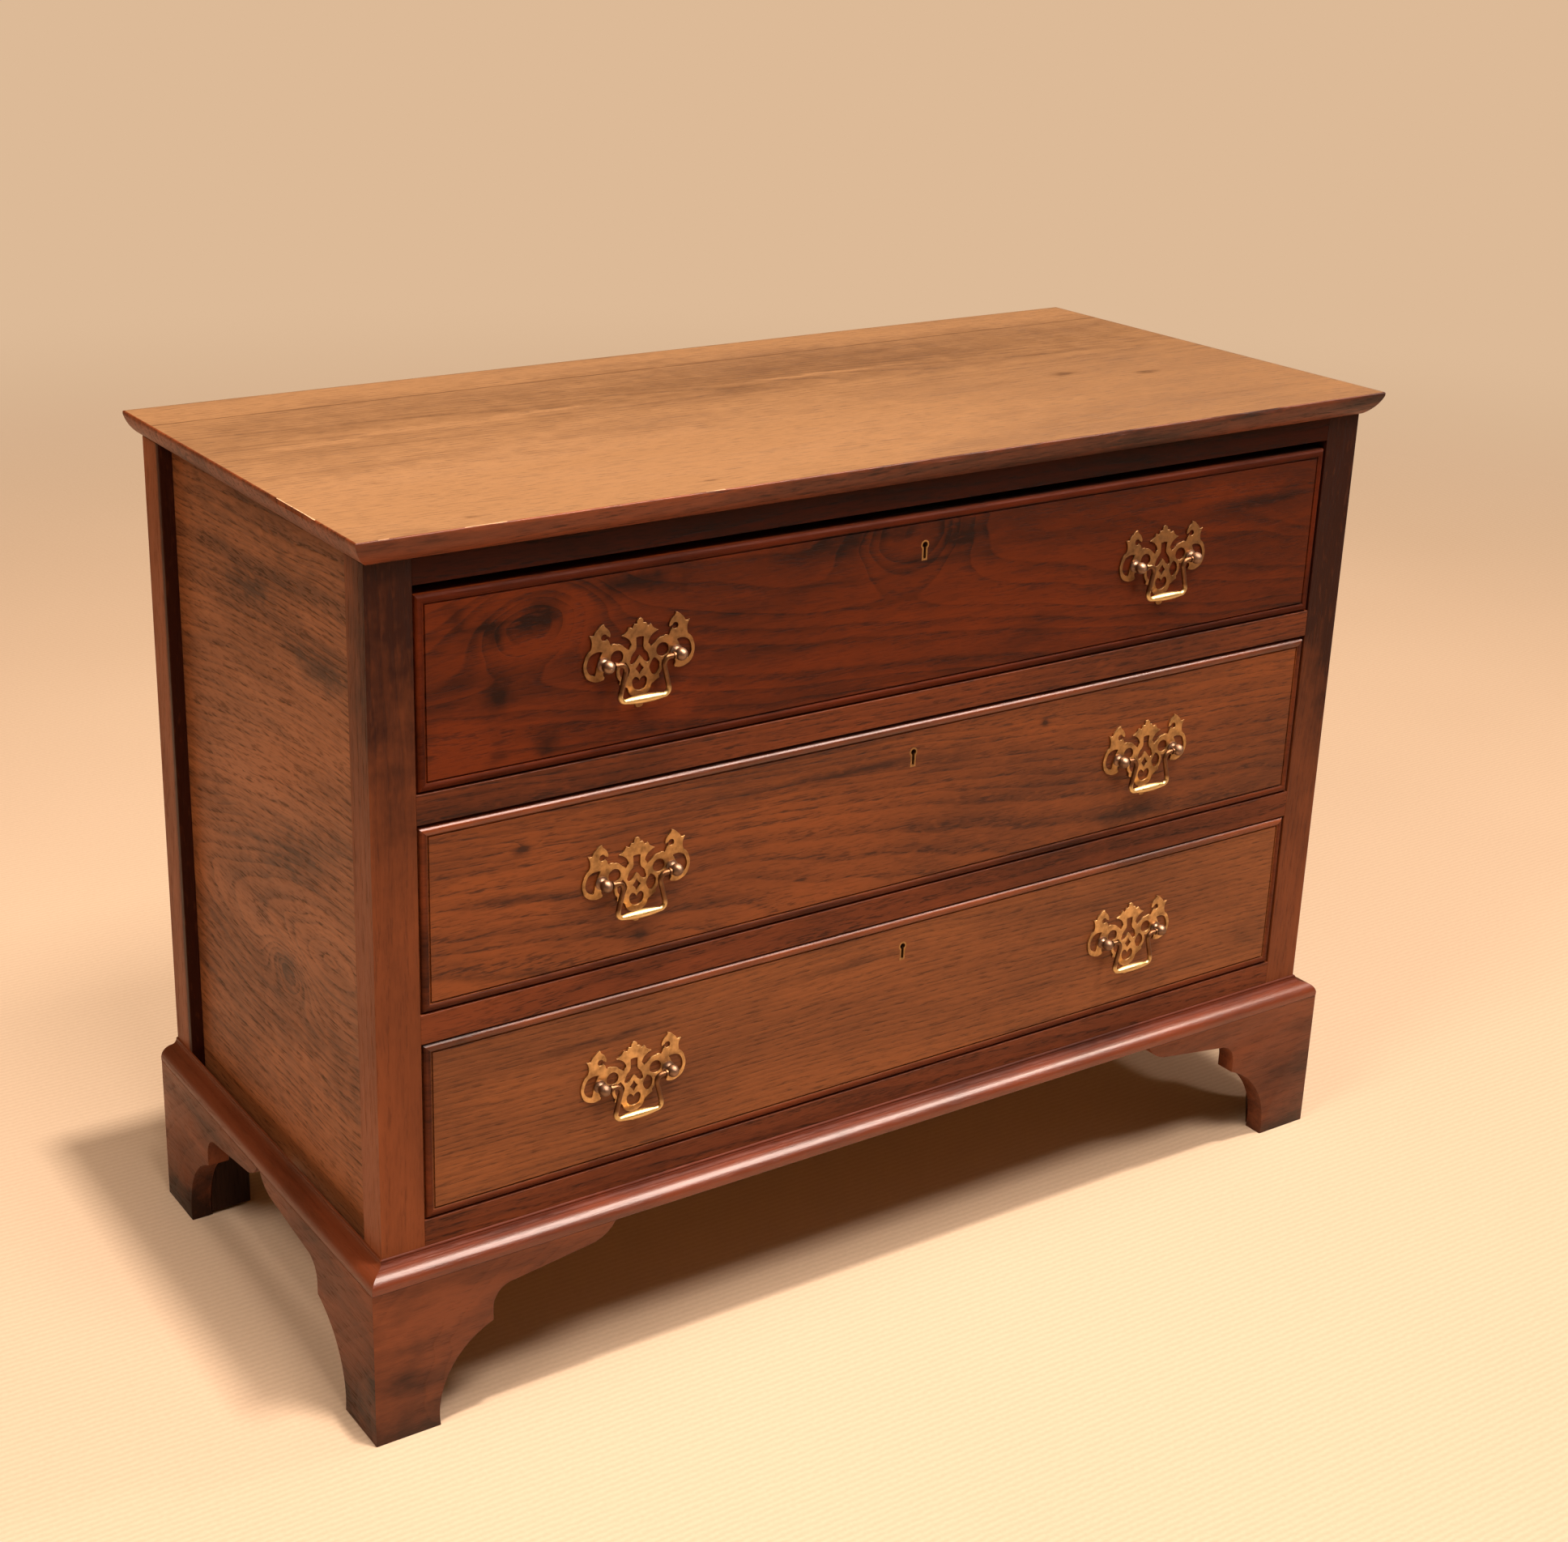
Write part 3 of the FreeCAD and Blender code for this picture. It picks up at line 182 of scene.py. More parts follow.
# The room gives a dim brown glow, and the camera sees it as a pale wall.
world = bpy.data.worlds.new("room_light")
world.use_nodes = True
seen = node(world.node_tree, "ShaderNodeLightPath", out="Is Camera Ray")
glow = between(world.node_tree, seen, shade(120, 84, 50), shade(221, 186, 151))
world.node_tree.links.new(glow, world.node_tree.nodes["Background"].inputs["Color"])
scene.world = world

lens = bpy.data.cameras.new("camera")
lens.sensor_width = 36
lens.lens = 55.807
lens.shift_x = 0.06495
lens.shift_y = -0.03438
camera = bpy.data.objects.new("camera", lens)
camera.location = (-1.19875, -1.71617, 1.22798)
camera.rotation_euler = tuple(math.radians(turn) for turn in (69.69719, -1.10166, -32.38030))
scene.collection.objects.link(camera)
scene.camera = camera


# ---------------------------------------------------------------- corner posts and rails
# Four oak posts stand at the corners, mortised for the rails and grooved for the panels. Posts and
# rails are stained red-brown and waxed, and their arrises are rubbed down by hand.
LEVEL = (0, 0, 0)


def group_tree(name, entries, exits):
    """Empty shader group with its inputs as (name, default) and its outputs by name."""
    tree = bpy.data.node_groups.new(name, "ShaderNodeTree")
    for entry, default in entries:
        kind = "NodeSocketVector" if np.size(default) == 3 else "NodeSocketFloat"
        tree.interface.new_socket(entry, in_out="INPUT", socket_type=kind).default_value = default
    for leaving in exits:
        tree.interface.new_socket(leaving, in_out="OUTPUT", socket_type="NodeSocketFloat")
    return tree, tree.nodes.new("NodeGroupInput").outputs, tree.nodes.new("NodeGroupOutput").inputs


def bell(tree, distance):
    """Value that falls from 1 as exp(-d d) with the distance d."""
    return sums(tree, "EXPONENT", sums(tree, "MULTIPLY", sums(tree, "MULTIPLY", distance, distance), -1.0))


def oak_figure():
    """Figure of a sawn oak board, from places measured from the tree's heart with X along the grain.

    The yearly rings are tubes round the heart line, which leans against the board and wanders, so
    that a face cuts them into long arches. A knot pushes the rings aside in a bell shape. A year
    starts dark and fades over its ring. Pores are short dark dashes, most of them where the year
    starts, flecks are light dashes across the rings, and streaks are long dark threads.
    """
    tree, given, result = group_tree("oak_figure", [
        ("Place", LEVEL), ("Lean", LEVEL), ("Knot A", LEVEL), ("Size A", 0.0), ("Knot B", LEVEL),
        ("Size B", 0.0), ("Ring Width", 0.007), ("Wander", 0.03)],
        ["Ring", "Pore", "Fleck", "Streak", "Tone"])
    place = given["Place"]
    bend = clouds(tree, vectors(tree, "MULTIPLY", place, (1.6, 5.0, 5.0)), out="Color")
    ripple = clouds(tree, vectors(tree, "MULTIPLY", place, (12.0, 55.0, 55.0)), detail=1.0, out="Color")
    bend = vectors(tree, "SUBTRACT", bend, (0.5, 0.5, 0.5))
    bend = vectors(tree, "MULTIPLY_ADD", vectors(tree, "SUBTRACT", ripple, (0.5, 0.5, 0.5)),
                   (0.13, 0.13, 0.13), bend)
    bend = node(tree, "ShaderNodeVectorMath", {"Vector": bend, "Scale": given["Wander"]}, operation="SCALE")
    wood = vectors(tree, "ADD", place, bend)

    along, across, deep = node(tree, "ShaderNodeSeparateXYZ", (wood,)).node.outputs
    lean = node(tree, "ShaderNodeSeparateXYZ", (given["Lean"],)).node.outputs
    across = sums(tree, "MULTIPLY_ADD", along, lean["Y"], across)
    deep = sums(tree, "MULTIPLY_ADD", along, lean["Z"], deep)
    radius = sums(tree, "SQRT", sums(tree, "MULTIPLY_ADD", across, across, sums(tree, "MULTIPLY", deep, deep)))
    for knot in "AB":
        size = given["Size " + knot]
        apart = vectors(tree, "SUBTRACT", wood, given["Knot " + knot])
        apart = vectors(tree, "LENGTH", vectors(tree, "MULTIPLY", apart, (0.6, 1.0, 1.0)), out="Value")
        near = sums(tree, "DIVIDE", apart, sums(tree, "MAXIMUM", size, 0.001))
        radius = sums(tree, "MULTIPLY_ADD", bell(tree, near), sums(tree, "MULTIPLY", size, 2.2), radius)

    uneven = node(tree, "ShaderNodeTexNoise", {"W": radius, "Scale": 45.0, "Detail": 1.0},
                  noise_dimensions="1D")
    year = sums(tree, "DIVIDE", radius, given["Ring Width"])
    year = sums(tree, "FRACT", sums(tree, "MULTIPLY_ADD", uneven, 2.4, year))
    fading = sums(tree, "POWER", sums(tree, "SUBTRACT", 1.0, year), 1.7)
    early = sums(tree, "MINIMUM", fading, sums(tree, "MULTIPLY", year, 9.0))
    tree.links.new(early, result["Ring"])

    dashes = clouds(tree, vectors(tree, "MULTIPLY", wood, (55.0, 620.0, 620.0)), roughness=0.7)
    share = sums(tree, "MULTIPLY_ADD", early, 0.7, 0.3)
    tree.links.new(sums(tree, "MULTIPLY", ramp(tree, dashes, 0.5, 0.62), share), result["Pore"])
    rays = clouds(tree, vectors(tree, "MULTIPLY", wood, (70.0, 260.0, 260.0)), detail=1.0)
    tree.links.new(ramp(tree, rays, 0.6, 0.72), result["Fleck"])
    threads = clouds(tree, vectors(tree, "MULTIPLY", wood, (4.0, 110.0, 110.0)), detail=3.0, roughness=0.6)
    tree.links.new(ramp(tree, threads, 0.55, 0.75), result["Streak"])
    cloud = clouds(tree, vectors(tree, "MULTIPLY", place, (3.0, 13.0, 13.0)), detail=6.0, roughness=0.68)
    tree.links.new(cloud, result["Tone"])
    return tree


def oak_patch():
    """Patch of darker or lighter colour, for the wood's own marks and for painted light and shade:
    share + strength exp(-d d), with d its distance in sizes.

    The place is taken into the patch's own turned and sized directions, and the waver moves it there.
    """
    tree, given, result = group_tree("oak_patch", [
        ("Share", 0.0), ("Place", LEVEL), ("Waver", LEVEL), ("Middle", LEVEL), ("Turn", LEVEL),
        ("Sizes", (1.0, 1.0, 1.0)), ("Strength", 0.0)], ["Patched"])
    feeds = (given["Place"], given["Middle"], given["Turn"], given["Sizes"])
    apart = vectors(tree, "ADD", node(tree, "ShaderNodeMapping", feeds, vector_type="TEXTURE"), given["Waver"])
    apart = vectors(tree, "LENGTH", apart, out="Value")
    tree.links.new(sums(tree, "MULTIPLY_ADD", bell(tree, apart), given["Strength"], given["Share"]),
                   result["Patched"])
    return tree


figure, patch = oak_figure(), oak_patch()
# For a grain along each axis: the board's turn, and which parts of a place, and with which signs, run
# along the grain, across it and deep.
GRAIN = {"X": (LEVEL, [0, 1, 2], (1, 1, 1)),
         "Y": ((0, 0, math.pi / 2), [1, 0, 2], (1, -1, 1)),
         "Z": ((0, -math.pi / 2, 0), [2, 1, 0], (1, 1, -1))}


def oak(name, light, dark, heart, grain="X", lean=(0.0, 0.05), knots=(), ring=0.007, wander=0.03,
        lines=0.4, mottle=0.6, pits=0.8, gloss=0.42, coat=0.0, shine=0.22, patches=(), ragged=2.2):
    """Stained and waxed oak, from the light wood to the dark of the early rings.

    Heart is a point of the tree's heart line, grain the axis that it follows, and lean how far it
    leaves the two other directions for each metre. A knot is a place, as the heart, and its size.
    A patch of darker or lighter colour is a place, sizes, a turn in degrees, and how dark it is;
    some patches are the wood's own marks and some are painted light and shade. Its outline wavers
    as far as ragged says. Lines, mottle and pits are how strongly rings, clouds and pores show,
    gloss is the roughness, and shine how much plain light the wax throws back.
    """
    finish, tree, shader = new_finish(name, Coat_Weight=coat, Coat_Roughness=0.2, Specular_IOR_Level=shine)
    whole = node(tree, "ShaderNodeTexCoord", out="Object")
    turn, order, signs = GRAIN[grain]
    place = node(tree, "ShaderNodeMapping", (whole, heart, turn), vector_type="TEXTURE")
    feeds = {"Place": place, "Lean": (0, *lean), "Ring Width": ring, "Wander": wander}
    for letter, (knot, size) in zip("AB", knots):
        feeds["Knot " + letter] = np.subtract(knot, heart)[order] * signs
        feeds["Size " + letter] = size
    early, pore, fleck, streak, tone = node(tree, "ShaderNodeGroup", feeds, node_tree=figure).node.outputs
    share = sums(tree, "MULTIPLY_ADD", early, lines, ramp(tree, tone, 0.33, 0.67, -0.3 * mottle, mottle))
    share = sums(tree, "MULTIPLY_ADD", streak, 0.8 * lines, share)
    waver = vectors(tree, "SUBTRACT", clouds(tree, whole, 40.0, 3.0, 0.6, "Color"), (0.5, 0.5, 0.5))
    waver = vectors(tree, "MULTIPLY", waver, (ragged, ragged, ragged))
    for middle, sizes, degrees, strength in patches:
        share = node(tree, "ShaderNodeGroup", {
            "Share": share, "Place": whole, "Waver": waver, "Middle": middle, "Sizes": sizes,
            "Turn": [math.radians(part) for part in degrees], "Strength": strength}, node_tree=patch)
    deepest = tuple(0.3 * part for part in dark[:3]) + (1.0,)
    body = between(tree, share, light, dark)
    body = between(tree, sums(tree, "MULTIPLY", pore, pits), body, deepest)
    body = between(tree, sums(tree, "MULTIPLY", fleck, 0.4 * pits), body, light)
    tree.links.new(body, shader["Base Color"])
    rough = sums(tree, "MULTIPLY_ADD", pore, 0.2, ramp(tree, tone, 0.3, 0.7, gloss - 0.05, gloss + 0.08))
    tree.links.new(rough, shader["Roughness"])
    height = sums(tree, "MULTIPLY_ADD", pore, -0.7, sums(tree, "MULTIPLY", early, -0.3))
    bump = node(tree, "ShaderNodeBump", {"Strength": 0.4, "Distance": 0.0004, "Height": height})
    tree.links.new(bump, shader["Normal"])
    return finish


def settle(piece, *names):
    """The piece stands for CAD nodes, which it hides, and rides with their body."""
    first = frame["nodes"][names[0]]
    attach(piece, body_of(first)[0])
    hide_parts(*names)


def eased(name, finish, round_off=0.0007):
    """Copy of a CAD node with its arrises rubbed round, which stands for the node."""
    source = frame["nodes"][name]
    shape = bmesh.new()
    shape.from_mesh(source.data)
    bmesh.ops.remove_doubles(shape, verts=shape.verts, dist=1e-6)
    bmesh.ops.dissolve_limit(shape, angle_limit=math.radians(0.5), verts=shape.verts, edges=shape.edges)
    mesh = bpy.data.meshes.new(name + "_eased")
    shape.to_mesh(mesh)
    shape.free()
    if "custom_normal" in mesh.attributes:
        mesh.attributes.remove(mesh.attributes["custom_normal"])
    mesh.materials.clear()
    mesh.materials.append(finish)
    mesh.shade_smooth()
    piece = bpy.data.objects.new(name + "_eased", mesh)
    scene.collection.objects.link(piece)
    rub = piece.modifiers.new("rubbed_arris", "BEVEL")
    rub.width = round_off
    rub.segments = 2
    rub.limit_method = "ANGLE"
    rub.angle_limit = math.radians(40)
    rub.harden_normals = True
    settle(piece, name)


# The first post patch darkens the posts' fronts towards the top, and the second darkens the right post's upper
# part: painted shade under the top's overhang. The third, near black, darkens the faces of the rear posts that
# look forward beside the side panels: painted shade in that corner.
post_oak = oak("post_oak", shade(127, 70, 40), shade(46, 17, 8), (-0.30, 0.10, 0.4), "Z",
               lean=(0.03, 0.05), ring=0.006, lines=0.1, mottle=0.4, pits=0.3, shine=0.15, ragged=0.7,
               patches=[((0.0, -0.235, 0.76), (9.0, 0.055, 0.25), LEVEL, 1.3),
                        ((0.49, -0.21, 0.60), (0.1, 0.1, 0.25), LEVEL, 0.5),
                        ((0.0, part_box("post_rear_left")[0].y, 0.4), (9, 0.005, 9), LEVEL, 1.6)])
rail_oak = oak("rail_oak", shade(114, 58, 31), shade(39, 17, 9), (0.1, 0.02, 0.30),
               lean=(0.02, 0.04), ring=0.006, lines=0.3, mottle=0.5, shine=0.15,
               patches=[((-0.4, -0.21, 0.52), (0.2, 1, 0.05), LEVEL, 0.3)])
# The top rail's near-black colour is painted shade under the top board's overhang.
overhang_shade_oak = oak("top_rail_shade_oak", shade(58, 21, 10), shade(20, 8, 4), (0.1, 0.02, 0.60),
                 lean=(0.02, 0.04), ring=0.006, lines=0.3, mottle=0.8, shine=0.08)
for name in ("post_front_left", "post_front_right", "post_rear_left", "post_rear_right"):
    eased(name, post_oak)
eased("rail_front_top", overhang_shade_oak, 0.0005)
for name in ("rail_front_upper", "rail_front_lower", "rail_front_bottom"):
    eased(name, rail_oak, 0.0005)


# ---------------------------------------------------------------- panels and inner woodwork
# Thin oak side panels slide in the posts' grooves with their grain running level. The back, the
# bottom board, the back rails and the runners are the same oak, left dry and unstained.
def coat_node(finish, *names):
    """The finish goes on CAD nodes that keep their shape."""
    for name in names:
        frame["nodes"][name].material_slots[0].material = finish


# Among the side panels' patches, the lighter diagonal band at 0.515 m and the lighter lower part are painted
# sheen, and the darker band along the top is painted shade under the top board. The others are the panels' own
# blotches and bands.
for side, hand in ((-1, "left"), (1, "right")):
    side_oak = oak(f"side_oak_{hand}", shade(144, 88, 53), shade(68, 40, 26), (0.46 * side, 0.02, 0.36), "Y",
                   lean=(-0.25 * side, 0.05), knots=[((0.488 * side, -0.02, 0.33), 0.024)], ring=0.008,
                   wander=0.05, patches=[
                       ((0, -0.10, 0.615), (1, 0.05, 0.012), LEVEL, 0.9),
                       ((0, 0.025, 0.645), (1, 0.04, 0.010), LEVEL, 0.8),
                       ((0, -0.02, 0.330), (1, 0.030, 0.014), LEVEL, 0.7),
                       ((0, -0.04, 0.440), (1, 0.11, 0.022), (-24, 0, 0), 0.45),
                       ((0, -0.025, 0.515), (1, 0.12, 0.020), (-23, 0, 0), -0.5),
                       ((0, -0.10, 0.17), (1, 0.16, 0.10), LEVEL, -0.7),
                       ((0, 0.0, 0.70), (1, 0.5, 0.05), LEVEL, 0.35)])
    coat_node(side_oak, f"side_panel_{hand}")
plain_oak = oak("plain_oak", shade(186, 150, 106), shade(150, 112, 72), (0.3, 0.6, -0.2), pits=0.5, gloss=0.75)
coat_node(plain_oak, "back_panel", "bottom_board", "rail_back_top", "rail_back_bottom", "runners_left",
          "runners_right")

# ---------------------------------------------------------------- base moulding and bracket feet
# The base moulding is a run of oak worked to a round, a hollow and a small bead, mitred at the front
# corners. It caps bracket feet that are sawn from boards, with a glue block inside each corner.
base_oaks = [
    oak(f"base_oak_{grain}", light, dark, (0.2, 0.05, 0.34), grain, lean=(0.02, 0.04), ring=0.006,
        lines=0.08, mottle=0.8, pits=0.15, gloss=0.36, coat=coat, shine=0.3)
    for grain, light, dark, coat in (("X", shade(116, 54, 30), shade(50, 21, 12), 0.45),
                                     ("Y", shade(98, 48, 28), shade(42, 18, 10), 0.0))]
# The hollow's finish is darker than the round's: painted shade in the moulding's hollow.
hollow_shade_oak = oak("hollow_shade_oak", shade(98, 42, 21), shade(38, 15, 8), (0.2, 0.05, 0.34),
                 lean=(0.02, 0.04), lines=0.1, mottle=0.8, pits=0.2, gloss=0.5, shine=0.1)
# The glue blocks are near black: painted shade, as they stand in the dark under the chest.
block_shade_oak = oak("block_shade_oak", shade(46, 24, 14), shade(22, 11, 6), (0.3, 0.6, -0.2), "Z",
                lines=0.3, pits=0.4, gloss=0.6)
# The first foot patch darkens every foot towards the floor: painted shade where the chest meets the floor. The
# second lightens the front left foot near its top: a painted highlight.
foot_oaks = [
    oak(f"foot_oak_{grain}", shade(117, 64, 39), shade(42, 20, 12), (-0.3, 0.02, 0.02), grain,
        lean=(0.3, 0.04), ring=0.009, lines=0.12, mottle=0.9, pits=0.3, patches=[
            ((0.0, 0.0, 0.0), (9.0, 9.0, 0.03), LEVEL, 0.55),
            ((-0.46, -0.2285, 0.105), (0.035, 0.02, 0.012), LEVEL, -0.6),
            ((-0.49, -0.2285, 0.06), (0.02, 0.02, 0.02), LEVEL, 0.5)]) for grain in "XY"]


def bow(start, end, rise, steps=8):
    """Points on a circle's arc from one point to another, whose middle stands off the chord to the left.

    With half a chord c and a rise s, the radius is (c c + s s) / 2 s and half the angle 2 atan(s / c).
    """
    start, end = np.array(start, float), np.array(end, float)
    half = np.linalg.norm(end - start) / 2
    ahead = (end - start) / (2 * half)
    radius = (half ** 2 + rise ** 2) / (2 * rise)
    angle = np.linspace(-1, 1, steps) * 2 * math.atan(rise / half)
    forward = radius * np.sin(angle)
    aside = radius * np.cos(angle) - (radius - rise)
    left = np.array([-ahead[1], ahead[0]])
    return (start + end) / 2 + np.outer(forward, ahead) + np.outer(aside, left)


def skin(name, parts, *stands_for, crease=32):
    """Piece of closed skins, each given as (rings of points, finish).

    Each ring is joined to the next, and the first and the last get a flat cap.
    """
    places, faces, kinds = [], [], []
    for kind, (rings, _) in enumerate(parts):
        count, size = rings.shape[:2]
        index = np.arange(count * size).reshape(count, size) + sum(map(len, places))
        ahead = np.roll(index, -1, 1)
        walls = np.stack([index[:-1], ahead[:-1], ahead[1:], index[1:]], -1).reshape(-1, 4)
        places.append(rings.reshape(-1, 3))
        faces += [*walls.tolist(), index[0][::-1].tolist(), index[-1].tolist()]
        kinds += [kind] * (len(walls) + 2)
    mesh = bpy.data.meshes.new(name)
    mesh.from_pydata(np.vstack(places).tolist(), [], faces)
    for _, finish in parts:
        mesh.materials.append(finish)
    mesh.polygons.foreach_set("material_index", kinds)
    shape = bmesh.new()
    shape.from_mesh(mesh)
    bmesh.ops.recalc_face_normals(shape, faces=shape.faces)
    shape.to_mesh(mesh)
    shape.free()
    mesh.shade_smooth()
    mesh.set_sharp_from_angle(angle=math.radians(crease))
    piece = bpy.data.objects.new(name, mesh)
    scene.collection.objects.link(piece)
    settle(piece, *stands_for)
    return piece


def refinish(piece, finishes, kinds):
    """More finishes for a piece, and each face's kind, counted from its first finish."""
    for finish in finishes:
        piece.data.materials.append(finish)
    piece.data.polygons.foreach_set("material_index", kinds)


# Profile from the foot of the moulding to the wall, as distances out from the case and up.
proud = 0.0170
moulding = np.vstack([
    [(0, 0), (0.0160, 0), (0.0168, 0.0002)], bow((proud, 0.0008), (proud, 0.0034), 0.0001, 4),
    bow((0.0169, 0.0042), (0.0062, 0.0135), -0.0026, 16), bow((0.0056, 0.0137), (0.0016, 0.0174), 0.0008, 8),
    bow((0.0014, 0.0176), (0.0004, 0.0199), -0.0005, 8), [(0, 0.0200)]])
moulding[:, 0] = np.minimum(moulding[:, 0], proud)
low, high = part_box("base_moulding_front")
out, up = moulding.T
base_low, case_front, case_side = low.z, high.y, high.x - proud
share = np.linspace(0, 1, 41)[:, None]
run = np.stack([(2 * share - 1) * (case_side + out), 0 * share + case_front - out, 0 * share + base_low + up], -1)
front_run = skin("base_moulding_front_run", [(run, base_oaks[0])], "base_moulding_front")
# The small hollow and bead above the round are darker and duller: the darker colour is painted shade in the
# hollow, and the dull wax keeps highlights off them.
round_top = 0.0136
kinds = np.zeros(len(front_run.data.polygons), int)
kinds[:-2] = np.tile(up > round_top, share.size - 1)
refinish(front_run, [hollow_shade_oak], kinds)
case_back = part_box("base_moulding_left")[1].y
mitre = case_front - out
for side, hand in ((-1, "left"), (1, "right")):
    run = np.stack([0 * share + side * (case_side + out), mitre + share * (case_back - mitre),
                    0 * share + base_low + up], -1)
    skin(f"base_moulding_{hand}_run", [(run, base_oaks[1])], f"base_moulding_{hand}")


def inward(outline, distance):
    """Outline moved in by a distance: each point along the mean of its two edges' inner normals."""
    back, ahead = outline - np.roll(outline, 1, 0), np.roll(outline, -1, 0) - outline
    inner = [np.stack([-way[:, 1], way[:, 0]], 1) / np.linalg.norm(way, axis=1)[:, None] for way in (back, ahead)]
    middle = inner[0] + inner[1]
    middle /= np.maximum((middle * inner[0]).sum(1), 0.35)[:, None]
    return outline + middle * distance


def sawn(outline, thickness, corner, ways, mitred=False, round_off=0.0008):
    """Rings of a board sawn to an outline, with its arrises rubbed round.

    The outline runs counter-clockwise, as distances a and b from the board's corner. A point of it at
    depth c lies at corner + a A + b B + c C, where the ways A, B and C are unit vectors. A mitre keeps
    each point outside its own depth.
    """
    depths = np.array([0, 0.25, 1.0, thickness / round_off - 1.0, thickness / round_off]) * round_off
    insets = np.array([1.0, 0.3, 0.0, 0.0, 1.0]) * round_off
    rings = []
    for depth, inset in zip(depths, insets):
        along, up = inward(outline, inset).T
        if mitred:
            along = np.maximum(along, depth)
        rings.append(corner + np.stack([along, up, 0 * up + depth], -1) @ ways)
    return np.array(rings)


# Bracket from its corner: toe, large hollow, cusp, small hollow, long slope and rounded tip.
reach = 0.222
bracket = np.vstack([
    [(0, 0)], bow((0.058, 0), (0.107, 0.083), 0.017, 14), bow((0.107, 0.096), (0.1265, 0.1145), 0.0054, 8),
    bow((reach - 0.027, 0.124), (reach, base_low), -0.004, 6), [(0, base_low)]])
rear_bracket = np.array([(0, 0), (0.040, 0), (0.110, base_low - 0.045), (0.110, base_low), (0, base_low)])
# The glue blocks' legs are 38 mm, and they end 3 mm over the floor. The rear ones are square. The front
# ones are sawn three-cornered, and their outline lies in plan.
leg, lift = 0.038, 0.003
block = np.array([(0, lift), (leg, lift), (leg, base_low), (0, base_low)])
corner_block = np.array([(0, 0), (leg, 0), (0, leg)])
board = 0.020
base_side, base_front = case_side + proud, case_front - proud
UP, BACK, AHEAD = (0, 0, 1), (0, 1, 0), (0, -1, 0)
for side, hand in ((-1, "left"), (1, "right")):
    inside = (-side, 0, 0)
    outer, inner = side * base_side, side * (base_side - board)
    front_corner, inner_corner = (outer, base_front, 0), (inner, base_front + board, lift)
    skin(f"foot_front_{hand}_sawn", [
        (sawn(bracket, board, front_corner, (inside, UP, BACK), mitred=True), foot_oaks[0]),
        (sawn(bracket, board, front_corner, (BACK, UP, inside), mitred=True), foot_oaks[1]),
        (sawn(corner_block, base_low - lift, inner_corner, (inside, BACK, UP)), block_shade_oak)],
        f"foot_front_{hand}")
    skin(f"foot_rear_{hand}_sawn", [
        (sawn(bracket, board, (outer, case_back, 0), (AHEAD, UP, inside)), foot_oaks[1]),
        (sawn(rear_bracket, board, (inner, case_back, 0), (inside, UP, AHEAD)), foot_oaks[0]),
        (sawn(block, leg, (inner, case_back - board, 0), (inside, UP, AHEAD)), block_shade_oak)],
        f"foot_rear_{hand}")


# ---------------------------------------------------------------- top board
# The top is two oak boards jointed near the back, with a round worked under its front and side edges.
# The face is faded to honey and waxed, and the worked edge kept its red-brown stain.
def mark(x, y, long, wide, strength):
    """Patch on the top's face."""
    return (x, y, 0.75), (long, wide, 1), LEVEL, strength


top_oak = oak("top_oak", shade(160, 123, 90), shade(104, 74, 51), (0.1, 0.05, 0.70),
              lean=(0.06, 0.03), ring=0.005, wander=0.02, lines=0.3, mottle=0.45, pits=0.6,
              gloss=0.32, coat=0.25, shine=0.5, patches=[
                  mark(0.10, 0.090, 0.60, 0.06, 0.45), mark(0.00, 0.205, 2.00, 0.03, -0.3),
                  # The mark at -0.35, -0.130 lightens the face towards the front left corner: painted light,
                  # where the lamps fall nearest.
                  mark(-0.35, -0.130, 0.34, 0.08, -0.9), mark(-0.30, 0.055, 0.05, 0.006, -1.2),
                  mark(-0.20, 0.062, 0.04, 0.004, -1.2), mark(-0.42, 0.045, 0.03, 0.005, -1.2),
                  mark(0.10, 0.075, 0.08, 0.004, -0.7), mark(0.00, 0.165, 9.00, 0.0012, 0.9),
                  mark(0.30, -0.030, 0.012, 0.006, 0.9), mark(0.38, -0.060, 0.012, 0.005, 0.9),
                  mark(-0.41, -0.205, 0.008, 0.003, 0.9), mark(-0.20, -0.200, 0.008, 0.003, 0.9)])
edge_oak = oak("top_edge_oak", shade(128, 66, 37), shade(56, 25, 13), (0.1, 0.05, 0.70),
               lean=(0.06, 0.03), ring=0.009, lines=0.3, mottle=0.9, shine=0.25)
pale_arris_oak = oak("pale_arris_oak", shade(232, 198, 168), shade(176, 138, 110), (0.1, 0.05, 0.70),
                  lines=0.5, mottle=0.8, gloss=0.6)

# Profile from the top's face over its edge to the underside: how far in from the edge at the front
# and sides, how far in at the back, which is left square, and how far down.
thick, round_deep = 0.021, 0.0130
edge = np.vstack([
    [(0.0050, 0), (0.0014, 0)], bow((0.0011, 0.00005), (0, 0.0011), 0.0004, 5), [(0, 0.0032)],
    bow((0.0003, 0.0037), (0.0128, thick - 0.0002), 0.0017, 14), [(0.0134, thick), (0.0170, thick)]])
inset, down = edge.T
square = np.where(down < 0.0015, inset, np.where(down > thick - 0.0001, inset - round_deep, 0))
low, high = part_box("top_board")
